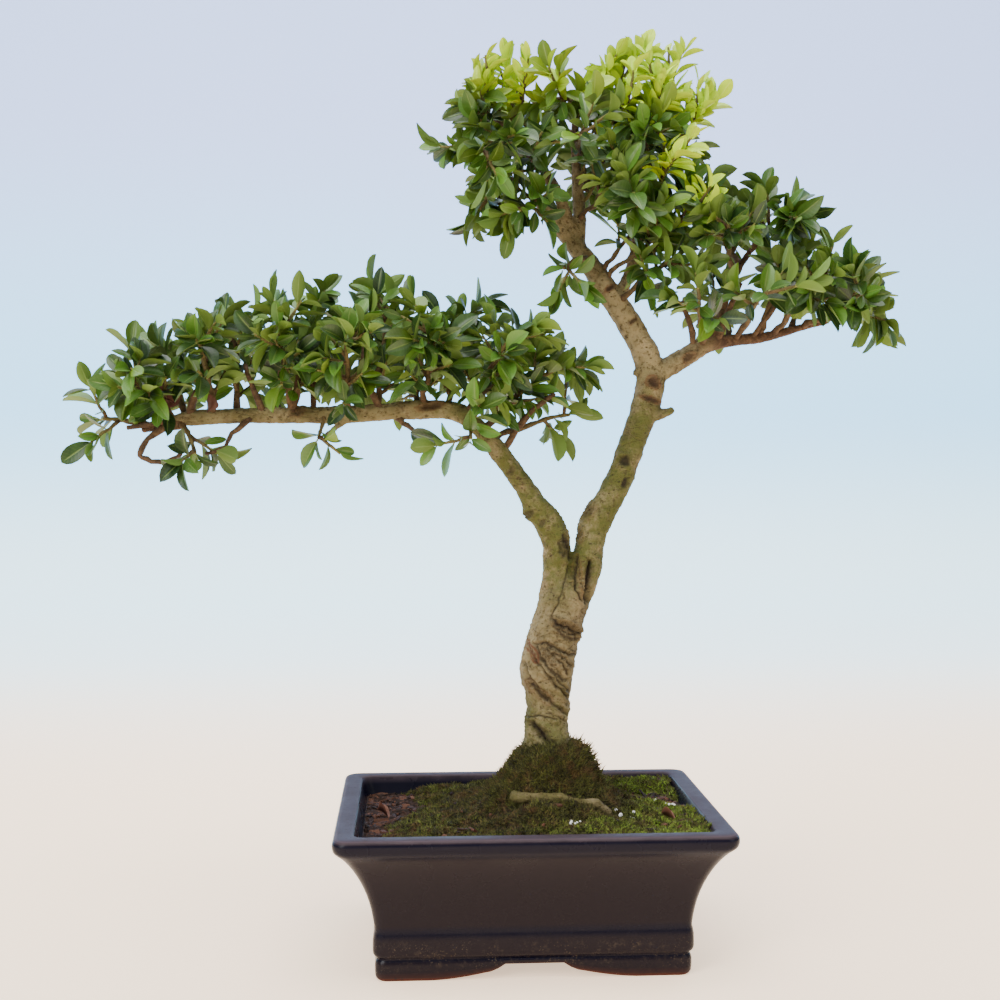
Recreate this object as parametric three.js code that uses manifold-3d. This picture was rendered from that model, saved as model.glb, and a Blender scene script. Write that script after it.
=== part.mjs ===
// A Japanese holly bonsai in its glazed pot, in millimetres with +Z up.
// The tree is modelled about the pot's centre on the table and then moved as one, so that the
// middle of the whole object's box stands over the origin, on the surface the feet rest on.
import * as THREE from "three";
import { mergeVertices } from "three/addons/utils/BufferGeometryUtils.js";
import Module from "manifold-3d";

const wasm = await Module();
wasm.setup();

// Pot: outer rim size, height, and how far each level of the outside lies in from the rim.
const POT_WIDTH = 180;
const POT_DEPTH = 140;
const POT_HEIGHT = 68;
const CORNER_RADIUS = 8;
const OUTSIDE = [
  { z: 0, inset: 19.6 },
  { z: 1.4, inset: 18.4 },
  { z: 8.6, inset: 18.3 },
  { z: 9.9, inset: 19.1 },
  { z: 11.6, inset: 17.6 },
  { z: 19, inset: 17.2 },
  { z: 23.5, inset: 18.2 },
  { z: 34, inset: 16.3 },
  { z: 43.5, inset: 13.2 },
  { z: 51.5, inset: 9.4 },
  { z: 58, inset: 4.4 },
  { z: 62, inset: 0.4 },
  { z: 66, inset: 0 },
  { z: POT_HEIGHT, inset: 2 },
];
const RIM_TOP_WIDTH = 9.4;
const WALL = 7.6;
const FLOOR_UNDERSIDE = 7;
const FLOOR_TOP = 14;
const INSIDE = [
  { z: POT_HEIGHT, inset: RIM_TOP_WIDTH },
  { z: 60, inset: 11.4 },
  { z: 47, inset: 11.6 + WALL },
  { z: 30, inset: 17 + WALL },
  { z: FLOOR_TOP, inset: 18.4 + WALL },
];
const FOOT_RING = 11;
const FOOT_INSET = 19.6;
const ARCH_HALF = 46;
const SIDE_ARCH_HALF = 27;
// The curve of each arch, as shares of its half and heights over the table.
const ARCH = { flat: 0.3, cusp: 0.46, cuspHeight: 3.3, footBend: 0.74, footBendHeight: 0.5, cuspBend: 0.86 };
const DRAIN_RADIUS = 8;
const DRAIN_X = 34;
const SCREEN = { side: 26, thick: 1.2, holes: 2, bar: 3 };

// How far a cut runs past what it cuts.
const BELOW_TABLE = 2;
const PAST_SIDE = 1.2;

// What is left between two pieces that rest on each other, and between a piece and the wall beside it.
const SEAT_GAP = 0.35;
const STEM_GAP = 0.3;
const WALL_GAP = 0.5;

// Ground: a level of soil that rises a little to the right, and a mound round the trunk's foot.
const GROUND = { level: 59.5, rise: 0.02, lumps: 0.6, moundHeight: 40, moundReach: 23, moundPower: 1.8 };
const MOUND = { x: 10, y: -4, squeeze: 0.7 };
const MOSS = { thick: 5.2, waves: 1.1, collar: 5, collarX: 26, collarY: -2, collarReach: 70 };
const GROUND_CELLS = [9, 7];
const BARE_PATCHES = [
  { x: -76, y: 30, rx: 26, ry: 34, depth: 11 },
  { x: -84, y: -30, rx: 17, ry: 20, depth: 11 },
  { x: 50, y: 32, rx: 24, ry: 11, depth: 9 },
  { x: 76, y: 12, rx: 9, ry: 12, depth: 9 },
  { x: 12, y: -31, rx: 24, ry: 6, depth: 3.4 },
];

// Wood: each limb is a list of [x, y, z, radius] down its middle.
const LIMBS = {
  bole: [
    [10, 1, 66, 20], [10, 0, 76, 17.5], [10, 0, 86, 14], [10, 0, 95, 11.8], [10.3, 0, 108, 10.2],
    [10.4, 0, 117, 9.9], [10, 0, 130, 12.5], [10.6, 0, 137, 12.7], [16.6, 0, 160, 11.8],
    [19.6, 0.5, 169, 11], [21, 1, 176, 8],
  ],
  left: [
    [14.5, 0, 158, 7.6], [14.7, 0, 176, 6.8], [14.4, -0.5, 190, 6.8], [11.4, -2, 201, 6.9],
    [4, -4, 211.4, 6.1], [-2, -6, 221, 4.8], [-14, -9, 237, 4.5], [-26, -10, 250.5, 4.2],
    [-40, -10, 256.7, 4.5], [-84, -10, 254.5, 4.1], [-130, -11, 253.5, 3.7], [-158, -12, 252.3, 3.5],
    [-168, -12, 250, 2.6], [-180, -12, 246.5, 1.6],
  ],
  right: [
    [18, 1, 150, 6.5], [22.5, 1, 163, 7.6], [28.4, 2, 180, 7.7], [31.3, 3, 192, 7.3],
    [34.8, 4, 204, 7.1], [45.8, 6, 223, 6.6], [53, 8, 243, 6.3], [60.2, 10, 262, 6.8],
    [61.6, 10, 271, 7], [60.8, 10, 280, 6.6], [56.4, 10, 291, 6.4], [40.8, 10, 315, 5.6],
    [29.5, 10, 331, 4.9], [15, 9, 348, 3.9], [9, 8, 355, 3.2],
  ],
  crownUp: [
    [26, 10.5, 336, 3.8], [27, 12, 348, 3.4], [26, 14, 370, 2.8], [25.2, 16, 393, 2.2], [26.2, 17, 409, 1.8],
  ],
  crownLeft: [
    [25, 10, 338, 3.4], [18, 7, 356, 3], [11, 4, 369, 2.6], [-3.5, 0, 385, 2.1], [-10, -2, 392, 1.6],
  ],
  crownRight: [[45, 10, 309, 3.2], [53, 15, 328, 2.8], [58, 17, 350, 2.4], [60, 16, 374, 1.8]],
  spreader: [
    [60, 10, 270, 5], [67.5, 10.5, 276.5, 5], [79, 12, 283, 4.7], [89, 14, 289.5, 4.3],
    [100, 14, 291.5, 3.3], [111, 14, 292.5, 2.8], [121, 14, 294, 2.5], [132, 14, 297, 2.1],
    [148, 14, 301, 1.6],
  ],
  spreaderUp: [[92, 14, 290, 2.8], [98, 15, 305, 2.4], [103, 16, 322, 2], [112, 14, 336, 1.6]],
};
const STUBS = [
  [[59, 9, 254, 3], [65, 8, 256.5, 2.7], [68.5, 7.5, 258.5, 2.3]],
  [[57, 10, 274, 2.2], [53, 8, 276, 1.6]],
  [[-84, -10, 253, 1.4], [-93, -13, 246, 1.1], [-98, -14, 243.5, 0.9]],
];
// The surface root that shows in front of the mound, and the roots that spread through the soil.
const SURFACE_ROOT = [
  [0, -17, 74, 3.4], [-7, -27, 76.5, 2.9], [3, -32, 78.2, 2.7], [18, -33.5, 78.4, 2.6], [30, -32, 76, 2.5],
  [37, -31, 69, 2.2], [41, -32, 60, 1.8],
];
const ROOT_CROWN = [[10, 0, 73, 18.5], [10, 1, 62, 16], [10, 1, 50, 11], [11, 1, 42, 6]];
const SOIL_ROOTS = {
  count: 3, sides: 4, startRadius: 6.5, endRadius: 1.8, x: 10, y: 1, top: 68, reach: 44, squeeze: 0.8,
  drop: 34, dropPower: 1.3, firstTurn: 0.3, shares: [0.2, 0.55, 1],
};
const ROOM_FOR_WOOD = 0.45;
const WOOD_SIDES = { trunk: 9, limb: 7, branch: 6, stub: 4 };

// Foliage: which limb a spray leaves, how far along its points, where its head is, and its twigs.
const SPRAYS = {
  left_pad: [
    ["left", 12.6, -197, -14, 252, 2], ["left", 11.7, -182, -27, 270, 3], ["left", 11.3, -170, 14, 280, 3],
    ["left", 10.6, -150, -30, 285, 3], ["left", 10.2, -139, 8, 296, 2], ["left", 9.75, -120, 38, 288, 2],
    ["left", 9.6, -114, -36, 290, 3], ["left", 9.4, -102, 4, 304, 2], ["left", 9.0, -84, -44, 286, 3],
    ["left", 8.9, -80, 32, 297, 2], ["left", 8.7, -66, -8, 305, 2], ["left", 8.3, -52, 38, 290, 3],
    ["left", 8.2, -46, -40, 290, 3], ["left", 7.9, -32, 2, 299, 2], ["left", 7.3, -10, -30, 288, 3],
    ["left", 7.1, -3, 24, 288, 2], ["left", 6.7, 18, -6, 279, 3], ["left", 7.0, -28, -30, 243, 2],
    ["left", 11.4, -154, -22, 236, 2], ["left", 6.3, 22, 10, 255, 2],
  ],
  crown: [
    ["crownLeft", 3.8, -22, -6, 397, 3], ["crownLeft", 3.2, -24, 22, 386, 2],
    ["crownLeft", 2.6, -22, -30, 374, 3], ["crownLeft", 1.8, -20, -2, 357, 2],
    ["right", 13.6, -4, -20, 349, 2], ["crownUp", 3.6, 16, -10, 402, 3],
    ["crownUp", 3.0, 4, 32, 396, 2], ["crownUp", 2.4, 22, -36, 380, 3], ["crownUp", 1.6, 34, 38, 372, 2],
    ["crownRight", 2.8, 54, -14, 388, 3], ["crownRight", 2.3, 72, 28, 384, 3],
    ["crownRight", 1.3, 46, -36, 354, 3], ["crownUp", 3.8, 40, 14, 408, 2], ["right", 11.7, 16, -20, 322, 2],
    ["right", 10.7, 66, -18, 326, 2],
  ],
  right_pad: [
    ["spreader", 7.9, 167, 8, 306, 3], ["spreader", 7.4, 158, -22, 311, 3],
    ["spreader", 7.0, 147, 36, 317, 2], ["spreader", 6.2, 138, -32, 317, 2],
    ["spreader", 5.4, 130, 4, 328, 2], ["spreader", 4.4, 108, -36, 310, 3],
    ["spreaderUp", 3.0, 122, -8, 350, 3], ["spreaderUp", 2.4, 104, 36, 346, 2],
    ["spreaderUp", 1.8, 92, -26, 342, 3], ["spreader", 2.8, 78, -28, 306, 3],
    ["spreader", 4.2, 102, 46, 314, 3], ["crownRight", 2.0, 84, 2, 362, 2],
  ],
};
// New shoots: limb, place along it, and where the tip is.
const SHOOTS = [
  ["crownUp", 2.3, 56, 2, 430], ["crownRight", 2.85, 76, 4, 430], ["crownUp", 1.4, 68, -10, 403],
  ["crownRight", 2.8, 94, 8, 408], ["crownLeft", 3.5, -10, 3, 424], ["crownRight", 1.7, 66, -30, 372],
  ["crownRight", 0.7, 82, -26, 352],
];
// Stems bow up to a head above their root and out over one below it, by shares of their length.
const STEM = { radius: 1.8, shootRadius: 1.1, taper: 0.55, sides: 3, bowUp: 0.1, bowOver: 0.25 };
const HANGING_BELOW = 0.8;
const TWIG = {
  shortest: 13, longest: 19, radius: 1.05, taper: 0.85, spread: 1.1, spreadLeast: 0.75, spreadMost: 1.15,
  lift: 0.4, hang: 0.1, nextTurn: 0.9, back: 0.04, forth: 0.03, clearOfWood: 0.8,
};
const TWIG_STARTS = [0.94, 0.62, 0.8, 0.44, 0.72];
const LEAVES_IN_FULL = 7;
const LEAVES_KEPT = [2, 4, 6];
const SHOOT_LEAVES = 7;
const LEAF = {
  shortest: 13, longest: 18.5, slimmest: 0.4, widest: 0.52, arch: 0.14, sunk: 0.2,
  first: 0.22, last: 0.94, openBelow: 1.15, openAtTip: 0.3, sway: 0.15, turnSway: 0.25,
  rise: 0.1, faceUp: 0.55, longestAt: 0.6, shorter: 0.86, bulge: 1.15, blunt: 0.75,
  clearOfWood: 1.6, meetsTwig: 0.3,
  beadStations: [0.2, 0.36, 0.52, 0.68, 0.84, 0.98], beadSides: [-0.7, 0, 0.7],
  stations: [0.3, 0.72], ridge: [[0.14, 0.75], [0.6, 0.95]],
};
const SHOOT_LEAF = { shortest: 10, longest: 15 };
const GOLDEN_ANGLE = 2.39996;
const THIRD = (2 * Math.PI) / 3;
const TRIES = 9;
const BEAD = { leaf: 1.3, twig: 0.9, cell: 4, step: 2.4, own: 0.95, others: 1.05 };
const SEED = 7103;

// Colours as they show in daylight.
const FINISH = {
  glaze: new THREE.MeshStandardMaterial({ color: 0x1c2233, roughness: 0.25, metalness: 0 }),
  soil: new THREE.MeshStandardMaterial({ color: 0x3a241a, roughness: 0.95, metalness: 0 }),
  moss: new THREE.MeshStandardMaterial({ color: 0x4d6420, roughness: 0.95, metalness: 0 }),
  bark: new THREE.MeshStandardMaterial({ color: 0x8d8262, roughness: 0.85, metalness: 0 }),
  leaf: new THREE.MeshStandardMaterial({ color: 0x3c6a24, roughness: 0.45, metalness: 0 }),
  newLeaf: new THREE.MeshStandardMaterial({ color: 0xa9c72f, roughness: 0.5, metalness: 0 }),
  screen: new THREE.MeshStandardMaterial({ color: 0x22261f, roughness: 0.6, metalness: 0 }),
};

const UP = new THREE.Vector3(0, 0, 1);
const vec = (x, y, z) => new THREE.Vector3(x, y, z);
const mix = (a, b, t) => a + (b - a) * t;

// A repeatable draw of numbers from 0 to 1.
function drawFrom(seed) {
  let state = seed;
  const draw = () => {
    state = (state * 1664525 + 1013904223) % 4294967296;
    return state / 4294967296;
  };
  for (let i = 0; i < 3; i++) draw();
  return draw;
}

// A closed geometry as a solid, and a solid as a geometry.
function solidOf(geometry) {
  const bare = geometry.index ? geometry.toNonIndexed() : geometry.clone();
  const positions = new THREE.BufferGeometry().setAttribute("position", bare.getAttribute("position"));
  const merged = mergeVertices(positions, 1e-4);
  return new wasm.Manifold(
    new wasm.Mesh({
      numProp: 3,
      vertProperties: merged.attributes.position.array,
      triVerts: new Uint32Array(merged.index.array),
    }),
  );
}

function geometryOf(solid) {
  const mesh = solid.getMesh();
  const position = new Float32Array(mesh.numVert * 3);
  for (let i = 0; i < mesh.numVert; i++) {
    position.set(mesh.vertProperties.subarray(i * mesh.numProp, i * mesh.numProp + 3), i * 3);
  }
  const geometry = new THREE.BufferGeometry();
  geometry.setAttribute("position", new THREE.BufferAttribute(position, 3));
  geometry.setIndex(new THREE.BufferAttribute(mesh.triVerts, 1));
  return geometry.toNonIndexed();
}

// The largest body of a solid, so that a loose scrap is dropped.
function largest(solid) {
  return solid.decompose().sort((a, b) => b.volume() - a.volume())[0];
}

function unionOf(solids) {
  let layer = solids;
  while (layer.length > 1) {
    const next = [];
    for (let i = 0; i < layer.length; i += 2) {
      next.push(i + 1 < layer.length ? layer[i].add(layer[i + 1]) : layer[i]);
    }
    layer = next;
  }
  return layer[0];
}

// A closed skin over rings of equally many points, with flat ends.
function loft(rings) {
  const around = rings[0].length;
  const points = rings.flat();
  const faces = [];
  for (let r = 0; r + 1 < rings.length; r++) {
    for (let i = 0; i < around; i++) {
      const a = r * around + i;
      const b = r * around + ((i + 1) % around);
      faces.push([a, b, b + around], [a, b + around, a + around]);
    }
  }
  const last = (rings.length - 1) * around;
  for (let i = 1; i + 1 < around; i++) {
    faces.push([0, i + 1, i], [last, last + i, last + i + 1]);
  }
  return fromFaces(points, faces);
}

function fromFaces(points, faces) {
  const geometry = new THREE.BufferGeometry();
  const numbers = points.flatMap((p) => p.toArray());
  geometry.setAttribute("position", new THREE.Float32BufferAttribute(numbers, 3));
  geometry.setIndex(faces.flat());
  return geometry;
}

// A rounded tapering limb along points of [x, y, z, radius].
function limbSolid(points, sides, extra = 0) {
  const centres = points.map(([x, y, z]) => vec(x, y, z));
  let across = vec(1, 0, 0);
  const rings = centres.map((centre, i) => {
    const before = centres[Math.max(0, i - 1)];
    const after = centres[Math.min(centres.length - 1, i + 1)];
    const along = after.clone().sub(before).normalize();
    across.sub(along.clone().multiplyScalar(across.dot(along)));
    if (across.length() < 0.2) across = vec(0, 1, 0).sub(along.clone().multiplyScalar(along.y));
    across.normalize();
    const side = along.clone().cross(across);
    const radius = points[i][3] + extra;
    return Array.from({ length: sides }, (_, k) => {
      const turn = (2 * Math.PI * k) / sides;
      return centre
        .clone()
        .addScaledVector(across, radius * Math.cos(turn))
        .addScaledVector(side, radius * Math.sin(turn));
    });
  });
  return solidOf(loft(rings));
}

// Pot: a ring of points round a rectangle with round corners.
function potRing(z, inset, cornerSteps = 2) {
  const halfWidth = POT_WIDTH / 2 - inset;
  const halfDepth = POT_DEPTH / 2 - inset;
  const radius = Math.max(3, CORNER_RADIUS - inset * 0.15);
  const ring = [];
  for (let corner = 0; corner < 4; corner++) {
    const signX = corner === 0 || corner === 3 ? 1 : -1;
    const signY = corner < 2 ? 1 : -1;
    for (let i = 0; i <= cornerSteps; i++) {
      const turn = (Math.PI / 2) * (corner + i / cornerSteps);
      ring.push(
        vec(
          signX * (halfWidth - radius) + radius * Math.cos(turn),
          signY * (halfDepth - radius) + radius * Math.sin(turn),
          z,
        ),
      );
    }
  }
  return ring;
}

// The cut under one side of the pot that leaves a foot at each end, with a small cusp.
function archCut(half, length) {
  const flat = half * ARCH.flat;
  const cusp = half * ARCH.cusp;
  const outer = [half * ARCH.footBend, ARCH.footBendHeight];
  const inner = [cusp * ARCH.cuspBend, ARCH.cuspHeight + 0.1];
  const shape = new THREE.Shape();
  shape.moveTo(-half, -BELOW_TABLE);
  shape.lineTo(-half, 0);
  shape.quadraticCurveTo(-outer[0], outer[1], -cusp, ARCH.cuspHeight);
  shape.quadraticCurveTo(-inner[0], inner[1], -flat, FLOOR_UNDERSIDE);
  shape.lineTo(flat, FLOOR_UNDERSIDE);
  shape.quadraticCurveTo(inner[0], inner[1], cusp, ARCH.cuspHeight);
  shape.quadraticCurveTo(outer[0], outer[1], half, 0);
  shape.lineTo(half, -BELOW_TABLE);
  const options = { depth: length, bevelEnabled: false, curveSegments: 3 };
  const geometry = new THREE.ExtrudeGeometry(shape, options);
  geometry.translate(0, 0, -length / 2);
  geometry.rotateX(Math.PI / 2);
  return geometry;
}

function potSolid() {
  const rings = [...OUTSIDE, ...INSIDE].map(({ z, inset }) => potRing(z, inset));
  let pot = solidOf(loft(rings));
  const recess = loft([
    potRing(-BELOW_TABLE, FOOT_INSET + FOOT_RING),
    potRing(FLOOR_UNDERSIDE, FOOT_INSET + FOOT_RING),
  ]);
  pot = pot.subtract(solidOf(recess));
  pot = pot.subtract(solidOf(archCut(ARCH_HALF, POT_DEPTH * PAST_SIDE)));
  const sideArch = archCut(SIDE_ARCH_HALF, POT_WIDTH * PAST_SIDE);
  sideArch.rotateZ(Math.PI / 2);
  pot = pot.subtract(solidOf(sideArch));
  for (const side of [-1, 1]) {
    const drain = new THREE.CylinderGeometry(DRAIN_RADIUS, DRAIN_RADIUS, 20, 12);
    drain.rotateX(Math.PI / 2);
    drain.translate(side * DRAIN_X, 0, FLOOR_TOP - 5);
    pot = pot.subtract(solidOf(drain));
  }
  return pot;
}

// The plastic screen that keeps the soil in over a drain hole.
function screenSolid(side) {
  const middle = vec(side * DRAIN_X, 0, FLOOR_TOP + SEAT_GAP + SCREEN.thick / 2);
  const plate = new THREE.BoxGeometry(SCREEN.side, SCREEN.side, SCREEN.thick);
  plate.translate(middle.x, middle.y, middle.z);
  let screen = solidOf(plate);
  const pitch = (SCREEN.side - SCREEN.bar) / SCREEN.holes;
  const hole = pitch - SCREEN.bar;
  for (let i = 0; i < SCREEN.holes; i++) {
    for (let j = 0; j < SCREEN.holes; j++) {
      const cut = new THREE.BoxGeometry(hole, hole, SCREEN.thick * 3);
      const first = (-pitch * (SCREEN.holes - 1)) / 2;
      cut.translate(middle.x + first + i * pitch, middle.y + first + j * pitch, middle.z);
      screen = screen.subtract(solidOf(cut));
    }
  }
  return screen;
}

// Ground heights over the pot, in plan.
function moundAt(x, y) {
  const away = Math.hypot(x - MOUND.x, (y - MOUND.y) * MOUND.squeeze);
  return GROUND.moundHeight * Math.exp(-Math.pow(away / GROUND.moundReach, GROUND.moundPower));
}

function soilAt(x, y) {
  const lumps = GROUND.lumps * Math.sin(x * 0.21 + 1) * Math.cos(y * 0.27);
  return GROUND.level + GROUND.rise * x + lumps + moundAt(x, y);
}

function mossAt(x, y) {
  let thick = MOSS.thick + MOSS.waves * Math.sin(x * 0.17 + y * 0.11) * Math.sin(y * 0.23 - 1);
  thick += MOSS.collar * Math.exp(-((x - MOSS.collarX) ** 2 + (y - MOSS.collarY) ** 2) / MOSS.collarReach);
  for (const p of BARE_PATCHES) {
    thick -= p.depth * Math.exp(-(((x - p.x) / p.rx) ** 2) - ((y - p.y) / p.ry) ** 2);
  }
  return thick;
}

// A block whose top follows a height over the pot.
function heightBlock(bottom, heightAt, cellsX, cellsY) {
  const wide = POT_WIDTH;
  const deep = POT_DEPTH;
  const geometry = new THREE.BoxGeometry(wide, deep, 10, cellsX, cellsY, 1);
  const position = geometry.attributes.position;
  for (let i = 0; i < position.count; i++) {
    const top = position.getZ(i) > 0;
    position.setZ(i, top ? heightAt(position.getX(i), position.getY(i)) : bottom);
  }
  return solidOf(geometry);
}

// The room inside the pot, a seat gap clear of its walls and floor.
function potRoom() {
  const levels = INSIDE.map(({ z, inset }) => ({
    z: z === FLOOR_TOP ? z + SEAT_GAP : z,
    inset: inset + WALL_GAP,
  }));
  const rings = levels.reverse().map(({ z, inset }) => potRing(z, inset));
  rings.push(potRing(POT_HEIGHT + GROUND.moundHeight, RIM_TOP_WIDTH + WALL_GAP));
  return solidOf(loft(rings));
}

function rootPoints(i) {
  const turn = (2 * Math.PI * (i + SOIL_ROOTS.firstTurn)) / SOIL_ROOTS.count;
  return SOIL_ROOTS.shares.map((share) => [
    SOIL_ROOTS.x + SOIL_ROOTS.reach * share * Math.cos(turn),
    SOIL_ROOTS.y + SOIL_ROOTS.reach * share * Math.sin(turn) * SOIL_ROOTS.squeeze,
    SOIL_ROOTS.top - SOIL_ROOTS.drop * share ** SOIL_ROOTS.dropPower,
    mix(SOIL_ROOTS.startRadius, SOIL_ROOTS.endRadius, share),
  ]);
}

// Everything woody that meets the ground, so much thicker than the real thing.
function woodBelow(extra) {
  const soilRoot = (_, i) => limbSolid(rootPoints(i), SOIL_ROOTS.sides, extra);
  const roots = Array.from({ length: SOIL_ROOTS.count }, soilRoot);
  const deeper = (points) => {
    const [x, y, z, radius] = points.at(-1);
    return [...points.slice(0, -1), [x, y, z - extra, radius]];
  };
  return [
    limbSolid(LIMBS.bole, WOOD_SIDES.trunk, extra),
    limbSolid(deeper(ROOT_CROWN), WOOD_SIDES.trunk, extra),
    limbSolid(deeper(SURFACE_ROOT), WOOD_SIDES.branch, extra),
    ...roots,
  ];
}

// The limbs above the bole, with their stubs, so much thicker than the real ones.
function limbSolids(extra) {
  const limbs = Object.entries(LIMBS).filter(([name]) => name !== "bole");
  const sidesOf = (name) => (name === "left" || name === "right" ? WOOD_SIDES.limb : WOOD_SIDES.branch);
  return [
    ...limbs.map(([name, points]) => limbSolid(points, sidesOf(name), extra)),
    ...STUBS.map((stub) => limbSolid(stub, WOOD_SIDES.stub, extra)),
  ];
}

function trunkSolid() {
  return largest(unionOf([...woodBelow(0), ...limbSolids(0)]));
}

function soilSolid() {
  let soil = heightBlock(0, soilAt, ...GROUND_CELLS).intersect(potRoom());
  for (const side of [-1, 1]) {
    const seat = new THREE.BoxGeometry(SCREEN.side + 1, SCREEN.side + 1, 4);
    seat.translate(side * DRAIN_X, 0, FLOOR_TOP + SCREEN.thick + 2 * SEAT_GAP - 2);
    soil = soil.subtract(solidOf(seat));
  }
  for (const wood of woodBelow(ROOM_FOR_WOOD)) soil = soil.subtract(wood);
  return largest(soil);
}

function mossSolid() {
  const top = heightBlock(0, (x, y) => soilAt(x, y) + mossAt(x, y), ...GROUND_CELLS);
  const under = heightBlock(-5, (x, y) => soilAt(x, y) + SEAT_GAP, ...GROUND_CELLS);
  let moss = top.subtract(under).intersect(potRoom());
  for (const wood of woodBelow(ROOM_FOR_WOOD)) moss = moss.subtract(wood);
  return largest(moss);
}

// Beads mark the room that wood, twigs and leaves take, so that nothing new grows through them.
class Beads {
  constructor() {
    this.cells = new Map();
  }

  key(x, y, z) {
    return `${Math.floor(x / BEAD.cell)},${Math.floor(y / BEAD.cell)},${Math.floor(z / BEAD.cell)}`;
  }

  add(point, radius, owner, part) {
    const key = this.key(point.x, point.y, point.z);
    if (!this.cells.has(key)) this.cells.set(key, []);
    this.cells.get(key).push({ point, radius, owner, part });
  }

  // True if a bead here is clear of all that belongs to others, and mostly clear of its own spray.
  clear(point, radius, owner, part) {
    for (let i = -1; i <= 1; i++) {
      for (let j = -1; j <= 1; j++) {
        for (let k = -1; k <= 1; k++) {
          const key = this.key(point.x + i * BEAD.cell, point.y + j * BEAD.cell, point.z + k * BEAD.cell);
          for (const bead of this.cells.get(key) ?? []) {
            if (bead.part === part) continue;
            const share = bead.owner === owner ? BEAD.own : BEAD.others;
            if (bead.point.distanceTo(point) < (bead.radius + radius) * share) return false;
          }
        }
      }
    }
    return true;
  }
}

// A point along a limb, counted in its points.
function alongLimb(name, place) {
  const points = LIMBS[name];
  const i = Math.min(points.length - 2, Math.floor(place));
  const t = place - i;
  return [0, 1, 2, 3].map((k) => mix(points[i][k], points[i + 1][k], t));
}

// How far a point is outside the wood.
function outsideWood(point) {
  let nearest = Infinity;
  for (const points of Object.values(LIMBS)) {
    for (let i = 0; i + 1 < points.length; i++) {
      const [ax, ay, az, ar] = points[i];
      const [bx, by, bz, br] = points[i + 1];
      const a = vec(ax, ay, az);
      const ab = vec(bx, by, bz).sub(a);
      const t = Math.min(1, Math.max(0, point.clone().sub(a).dot(ab) / ab.lengthSq()));
      const away = point.distanceTo(a.addScaledVector(ab, t)) - mix(ar, br, t);
      nearest = Math.min(nearest, away);
    }
  }
  return nearest;
}

// A bowed line from a to b, lifted or let down in its middle.
class Bow {
  constructor(a, b, lift) {
    this.a = a;
    this.b = b;
    this.middle = a.clone().add(b).multiplyScalar(0.5).addScaledVector(UP, lift);
  }

  at(t) {
    return this.a
      .clone()
      .multiplyScalar((1 - t) ** 2)
      .addScaledVector(this.middle, 2 * t * (1 - t))
      .addScaledVector(this.b, t ** 2);
  }

  along(t) {
    const first = this.middle.clone().sub(this.a).multiplyScalar(1 - t);
    return first.addScaledVector(this.b.clone().sub(this.middle), t).normalize();
  }

  length() {
    return this.a.distanceTo(this.b);
  }
}

// A straight three-sided twig, rolled about its own line.
class Twig {
  constructor(from, to, roll) {
    this.from = from;
    this.to = to;
    this.roll = roll;
    [this.side, this.over] = crossways(this.along());
  }

  at(t) {
    return this.from.clone().lerp(this.to, t);
  }

  along() {
    return this.to.clone().sub(this.from).normalize();
  }

  outward(turn) {
    return this.over.clone().multiplyScalar(Math.cos(turn)).addScaledVector(this.side, Math.sin(turn));
  }

  length() {
    return this.from.distanceTo(this.to);
  }

  ring(t, radius) {
    return [0, 1, 2].map((k) => this.at(t).addScaledVector(this.outward(this.roll + k * THIRD), radius));
  }

  // The middle of one of the three sides, where a leaf's root is narrower than the side.
  faceTurn(place) {
    return this.roll + THIRD * (place + 0.5);
  }
}

// Two directions square to a line.
function crossways(along) {
  const side = along.clone().cross(Math.abs(along.z) > 0.9 ? vec(1, 0, 0) : UP).normalize();
  return [side, side.clone().cross(along)];
}

// A spray's stem from the middle of its limb to its head.
function growStem(limb, place, head) {
  const [x, y, z] = alongLimb(limb, place);
  const root = vec(x, y, z);
  return new Bow(root, head, (head.z > z ? STEM.bowUp : STEM.bowOver) * root.distanceTo(head));
}

// The rule for a leaf's place and way on a twig; the draws follow each other in this order.
function leafOn(twig, share, turn, size, draw) {
  const base = twig.at(share);
  const along = twig.along();
  const outward = twig.outward(turn);
  const angle = mix(LEAF.openBelow, LEAF.openAtTip, share ** 2) + mix(-LEAF.sway, LEAF.sway, draw());
  const axis = along
    .clone()
    .multiplyScalar(Math.cos(angle))
    .addScaledVector(outward, Math.sin(angle))
    .addScaledVector(UP, LEAF.rise)
    .normalize();
  const face = along.clone().multiplyScalar(Math.sin(angle)).addScaledVector(outward, -Math.cos(angle));
  face.addScaledVector(UP, LEAF.faceUp);
  face.addScaledVector(axis, -face.dot(axis)).normalize();
  const full = mix(size.shortest, size.longest, draw());
  const length = full * mix(1, LEAF.shorter, Math.abs(share - LEAF.longestAt));
  const width = length * mix(LEAF.slimmest, LEAF.widest, draw());
  return { base, axis, face, across: axis.clone().cross(face), length, width };
}

// Half the blade's width at a share of its length: widest a little past the middle.
const bladeHalf = (s) => 0.5 * Math.pow(Math.sin(Math.PI * Math.pow(s, LEAF.bulge)), LEAF.blunt);

function leafPoint(leaf, s, side) {
  return leaf.base
    .clone()
    .addScaledVector(leaf.axis, s * leaf.length)
    .addScaledVector(leaf.across, side * leaf.width)
    .addScaledVector(leaf.face, -LEAF.arch * leaf.length * s * s);
}

function leafBeads(leaf) {
  const found = [];
  for (const s of LEAF.beadStations) {
    for (const side of LEAF.beadSides) {
      found.push({ s, point: leafPoint(leaf, s, side * bladeHalf(s)) });
    }
  }
  return found;
}

function leafIsClear(leaf, beads, owner, part) {
  const free = leafBeads(leaf).filter(({ s }) => s >= LEAF.meetsTwig);
  return free.every(({ point }) => beads.clear(point, BEAD.leaf, owner, part));
}

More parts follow.
